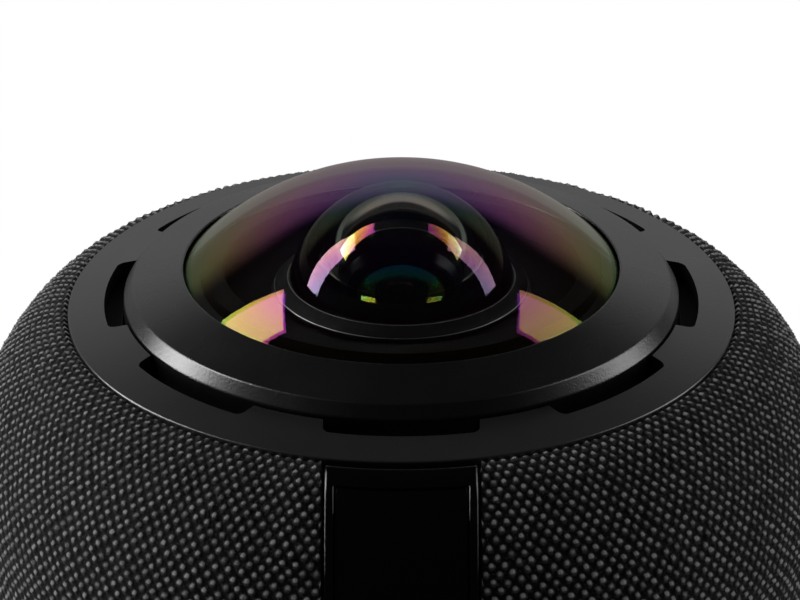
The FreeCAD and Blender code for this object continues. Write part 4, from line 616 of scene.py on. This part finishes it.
def turned(name, section, slot, replaced):
    """A closed piece turned about the vertical axis from its section."""
    mesh = bpy.data.meshes.new(name)
    work = bmesh.new()
    turns = [2 * pi * i / TURNED_SIDES for i in range(TURNED_SIDES)]
    rings = []
    for radius, height in section:
        if radius < 1e-9:
            rings.append([work.verts.new((0, 0, height))])
        else:
            rings.append([work.verts.new((radius * cos(a), radius * sin(a), height)) for a in turns])
    for upper, lower in zip(rings, rings[1:]):
        for i in range(TURNED_SIDES):
            j = (i + 1) % TURNED_SIDES
            corners = [upper[i % len(upper)], lower[i % len(lower)],
                       lower[j % len(lower)], upper[j % len(upper)]]
            work.faces.new(list(dict.fromkeys(corners)))
    bmesh.ops.remove_doubles(work, verts=work.verts, dist=1e-7)
    bmesh.ops.recalc_face_normals(work, faces=work.faces)
    work.to_mesh(mesh)
    work.free()
    mesh.polygons.foreach_set("use_smooth", np.ones(len(mesh.polygons), bool))
    mesh.set_sharp_from_angle(angle=SHARP_ANGLE)
    return place_piece(name, mesh, slot, replaced)


def ball_arc(ball, top, first_radius, last_radius):
    """Points on a ball's upper half, from one radius to another, by even turns."""
    first, last = asin(first_radius / ball), asin(last_radius / ball)
    turns = [first + (last - first) * i / ARC_STEPS for i in range(ARC_STEPS + 1)]
    return [(ball * sin(turn), top - ball + ball * cos(turn)) for turn in turns]


def make_front_lens():
    """The bulging meniscus, turned from its section, with its deep hollow."""
    hollow_top = LENS_TOP - LENS_THICKNESS
    hollow_centre = hollow_top - LENS_HOLLOW
    seat_radius = sqrt(LENS_HOLLOW ** 2 - max(LENS_SEAT - hollow_centre, 0) ** 2)
    outer = ball_arc(LENS_BALL, LENS_TOP, 0, LENS_RADIUS)
    inner = ball_arc(LENS_HOLLOW, hollow_top, seat_radius, 0)
    section = outer + [(LENS_RADIUS, LENS_SEAT), (seat_radius, LENS_SEAT)] + inner
    lens = turned("front_lens", section, "coated_glass", "front_element")
    # The hollow has its own coating, and the ground edge and seat are painted black, as on real lenses
    lens.data.materials.append(FINISH["matt_black"])
    lens.data.materials.append(FINISH["hollow_glass"])
    for face in lens.data.polygons:
        wall = abs(face.normal.z) < 0.02 and face.center.z < LENS_SEAT + LENS_WALL_HEIGHT
        seat = face.normal.z < -0.98 and face.center.z < LENS_SEAT + 0.1 * MM
        reach = (face.center - Vector((0, 0, hollow_centre))).length
        hollow = reach < LENS_HOLLOW + 0.01 * MM and face.center.z > hollow_centre
        face.material_index = 1 if wall or seat else 2 if hollow else 0


def make_lens_ring():
    """The retaining ring over the front lens, with the thin bright edges that turning leaves."""
    section = [(radius * MM, RIM_HEIGHT + height * MM) for radius, height in RING_SECTION]
    ring = turned("lens_ring", section, "matt_black", "element_retaining_ring")
    ring.data.materials.append(FINISH["bright_edge"])
    for face in ring.data.polygons:
        reach = sqrt(face.center.x ** 2 + face.center.y ** 2)
        height = face.center.z - RIM_HEIGHT
        inner_edge = 14.11 * MM < reach < 14.25 * MM and height > 3.52 * MM
        outer_edge = reach > 15.85 * MM and height > 2.59 * MM
        face.material_index = int(inner_edge or outer_edge)


# Stage, lamps and camera

FLOOR_HALF = 3.0
# The floor fades to the white background between these distances from the object
FLOOR_FADE = (0.09, 0.30)

FILL_FRONT = 0.08
FILL_BEHIND = 0.45
DARK_STUDIO = 0.01
# How bright the background is in mirrors, in mirrors under glass, and straight through glass
BACKDROP = 0.45
BACKDROP_UNDER_GLASS = 0.15
BACKDROP_THROUGH_GLASS = 0.04
# The share of it that is left at the floor's height
BACKDROP_FOOT = 0.55
# The direction's y from which the backdrop starts and is full, and its z where it ends and is full
BACKDROP_SIDES = (0.58, 0.80)
BACKDROP_TOP = (0.64, 0.47)

LAMP_RISE = radians(23)
LAMP_DISTANCE = 0.95
LAMP_WIDTH, LAMP_HEIGHT = 0.32, 1.02

IMAGE_WIDTH = 800
SENSOR_WIDTH = 36.0
FOCAL_PIXELS = 3640.5
SHIFT_PIXELS = -1.36
CAMERA_BACK = 411.9 * MM
CAMERA_ABOVE_RIM = 203.7 * MM
CAMERA_DIP = 26.29
NEAREST_SEEN = 0.02


def backdrop_strength(n, rays):
    mirrored = n.math("MINIMUM", rays["Glossy Depth"], 1.0)
    level = n.math("MULTIPLY_ADD", rays["Is Transmission Ray"], BACKDROP_UNDER_GLASS - BACKDROP, BACKDROP)
    above = n.math("SUBTRACT", level, BACKDROP_THROUGH_GLASS)
    return n.math("MULTIPLY_ADD", mirrored, above, BACKDROP_THROUGH_GLASS)


def make_floor():
    """A pale floor that keeps the object's shadow and fades to the white background away from it."""
    size = FLOOR_HALF
    mesh = bpy.data.meshes.new("floor")
    mesh.from_pydata([(-size, -size, 0), (size, -size, 0), (size, size, 0), (-size, size, 0)], [],
                     [(0, 1, 2, 3)])
    floor = bpy.data.objects.new("floor", mesh)
    bpy.context.collection.objects.link(floor)
    n = new_material("pale_floor")
    plain = principled(n, Base_Color=(0.86, 0.86, 0.86, 1.0), Roughness=0.9, Specular_IOR_Level=0.1)
    white = n.add("ShaderNodeEmission", Color=(1.0, 1.0, 1.0, 1.0), Strength=1.0)
    x, y, _ = n.parts(n.place())
    fade = n.span_from(n.math("SQRT", n.squares(x, y)), *FLOOR_FADE)
    rays = n.add("ShaderNodeLightPath").outputs
    sharp = n.math("MAXIMUM", rays["Is Glossy Ray"], rays["Is Transmission Ray"])
    behind = n.math("MULTIPLY", n.span_from(y, 0.0, 0.4), BACKDROP_FOOT)
    seen = n.math("MAXIMUM", rays["Is Camera Ray"], sharp)
    mirrored = n.math("MULTIPLY", behind, backdrop_strength(n, rays))
    n.put(white.inputs["Strength"], n.math("MAXIMUM", rays["Is Camera Ray"], mirrored))
    mix = n.add("ShaderNodeMixShader")
    n.put(mix.inputs[0], n.math("MULTIPLY", fade, seen))
    n.put(mix.inputs[1], plain.outputs[0])
    n.put(mix.inputs[2], white.outputs[0])
    n.finish(mix)
    mesh.materials.append(FINISH["pale_floor"])


def make_world():
    """A white background behind the object, dark studio above and in front, and a soft even fill."""
    world = bpy.data.worlds.new("studio")
    world.use_nodes = True
    bpy.context.scene.world = world
    n = Nodes(world)
    _, y, z = n.parts(n.add("ShaderNodeTexCoord").outputs["Generated"])
    behind = n.span_from(y, *BACKDROP_SIDES)
    low = n.span_from(z, *BACKDROP_TOP)
    rays = n.add("ShaderNodeLightPath").outputs
    rise = n.math("MULTIPLY_ADD", n.span_from(z, 0.0, 0.3), 1.0 - BACKDROP_FOOT, BACKDROP_FOOT)
    lit = n.math("MULTIPLY", n.math("MULTIPLY", behind, low), rise)
    lit = n.math("MULTIPLY", lit, backdrop_strength(n, rays))
    mirror = n.math("MAXIMUM", lit, DARK_STUDIO)
    sharp = n.math("MAXIMUM", rays["Is Glossy Ray"], rays["Is Transmission Ray"])
    soft = n.math("MULTIPLY_ADD", n.span_from(y, -0.3, 0.6), FILL_BEHIND - FILL_FRONT, FILL_FRONT)
    fill = n.math("MULTIPLY_ADD", sharp, n.math("SUBTRACT", mirror, soft), soft)
    level = n.math("MULTIPLY_ADD", rays["Is Camera Ray"], n.math("SUBTRACT", 1.0, fill), fill)
    background = n.add("ShaderNodeBackground", Color=(1.0, 1.0, 1.0, 1.0), Strength=level)
    n.put(n.add("ShaderNodeOutputWorld").inputs["Surface"], background.outputs[0])


def softbox(name, turn, power):
    """A tall rectangular lamp, aimed at the dome. turn is in degrees from the front, + to the right."""
    turn = radians(turn)
    target = Vector((0, 0, RIM_HEIGHT))
    way = Vector((sin(turn) * cos(LAMP_RISE), -cos(turn) * cos(LAMP_RISE), sin(LAMP_RISE)))
    data = bpy.data.lights.new(name, "AREA")
    data.shape = "RECTANGLE"
    data.size, data.size_y = LAMP_WIDTH, LAMP_HEIGHT
    data.energy = power
    lamp = bpy.data.objects.new(name, data)
    lamp.location = target + way * LAMP_DISTANCE
    lamp.rotation_euler = (-way).to_track_quat("-Z", "Y").to_euler()
    bpy.context.collection.objects.link(lamp)


def make_camera():
    data = bpy.data.cameras.new("camera")
    data.sensor_width = SENSOR_WIDTH
    data.lens = FOCAL_PIXELS / IMAGE_WIDTH * SENSOR_WIDTH
    data.shift_x = SHIFT_PIXELS / IMAGE_WIDTH
    data.clip_start = NEAREST_SEEN
    camera = bpy.data.objects.new("camera", data)
    camera.location = (0, -CAMERA_BACK, RIM_HEIGHT + CAMERA_ABOVE_RIM)
    camera.rotation_euler = (radians(90 - CAMERA_DIP), 0, 0)
    bpy.context.collection.objects.link(camera)
    bpy.context.scene.camera = camera


dress_frame()
make_sleeve()
make_front_lens()
make_lens_ring()
make_floor()
make_world()
softbox("left_box", -101, 9.0)
softbox("right_box", 101, 3.2)
make_camera()
bpy.context.scene.view_settings.view_transform = "Standard"
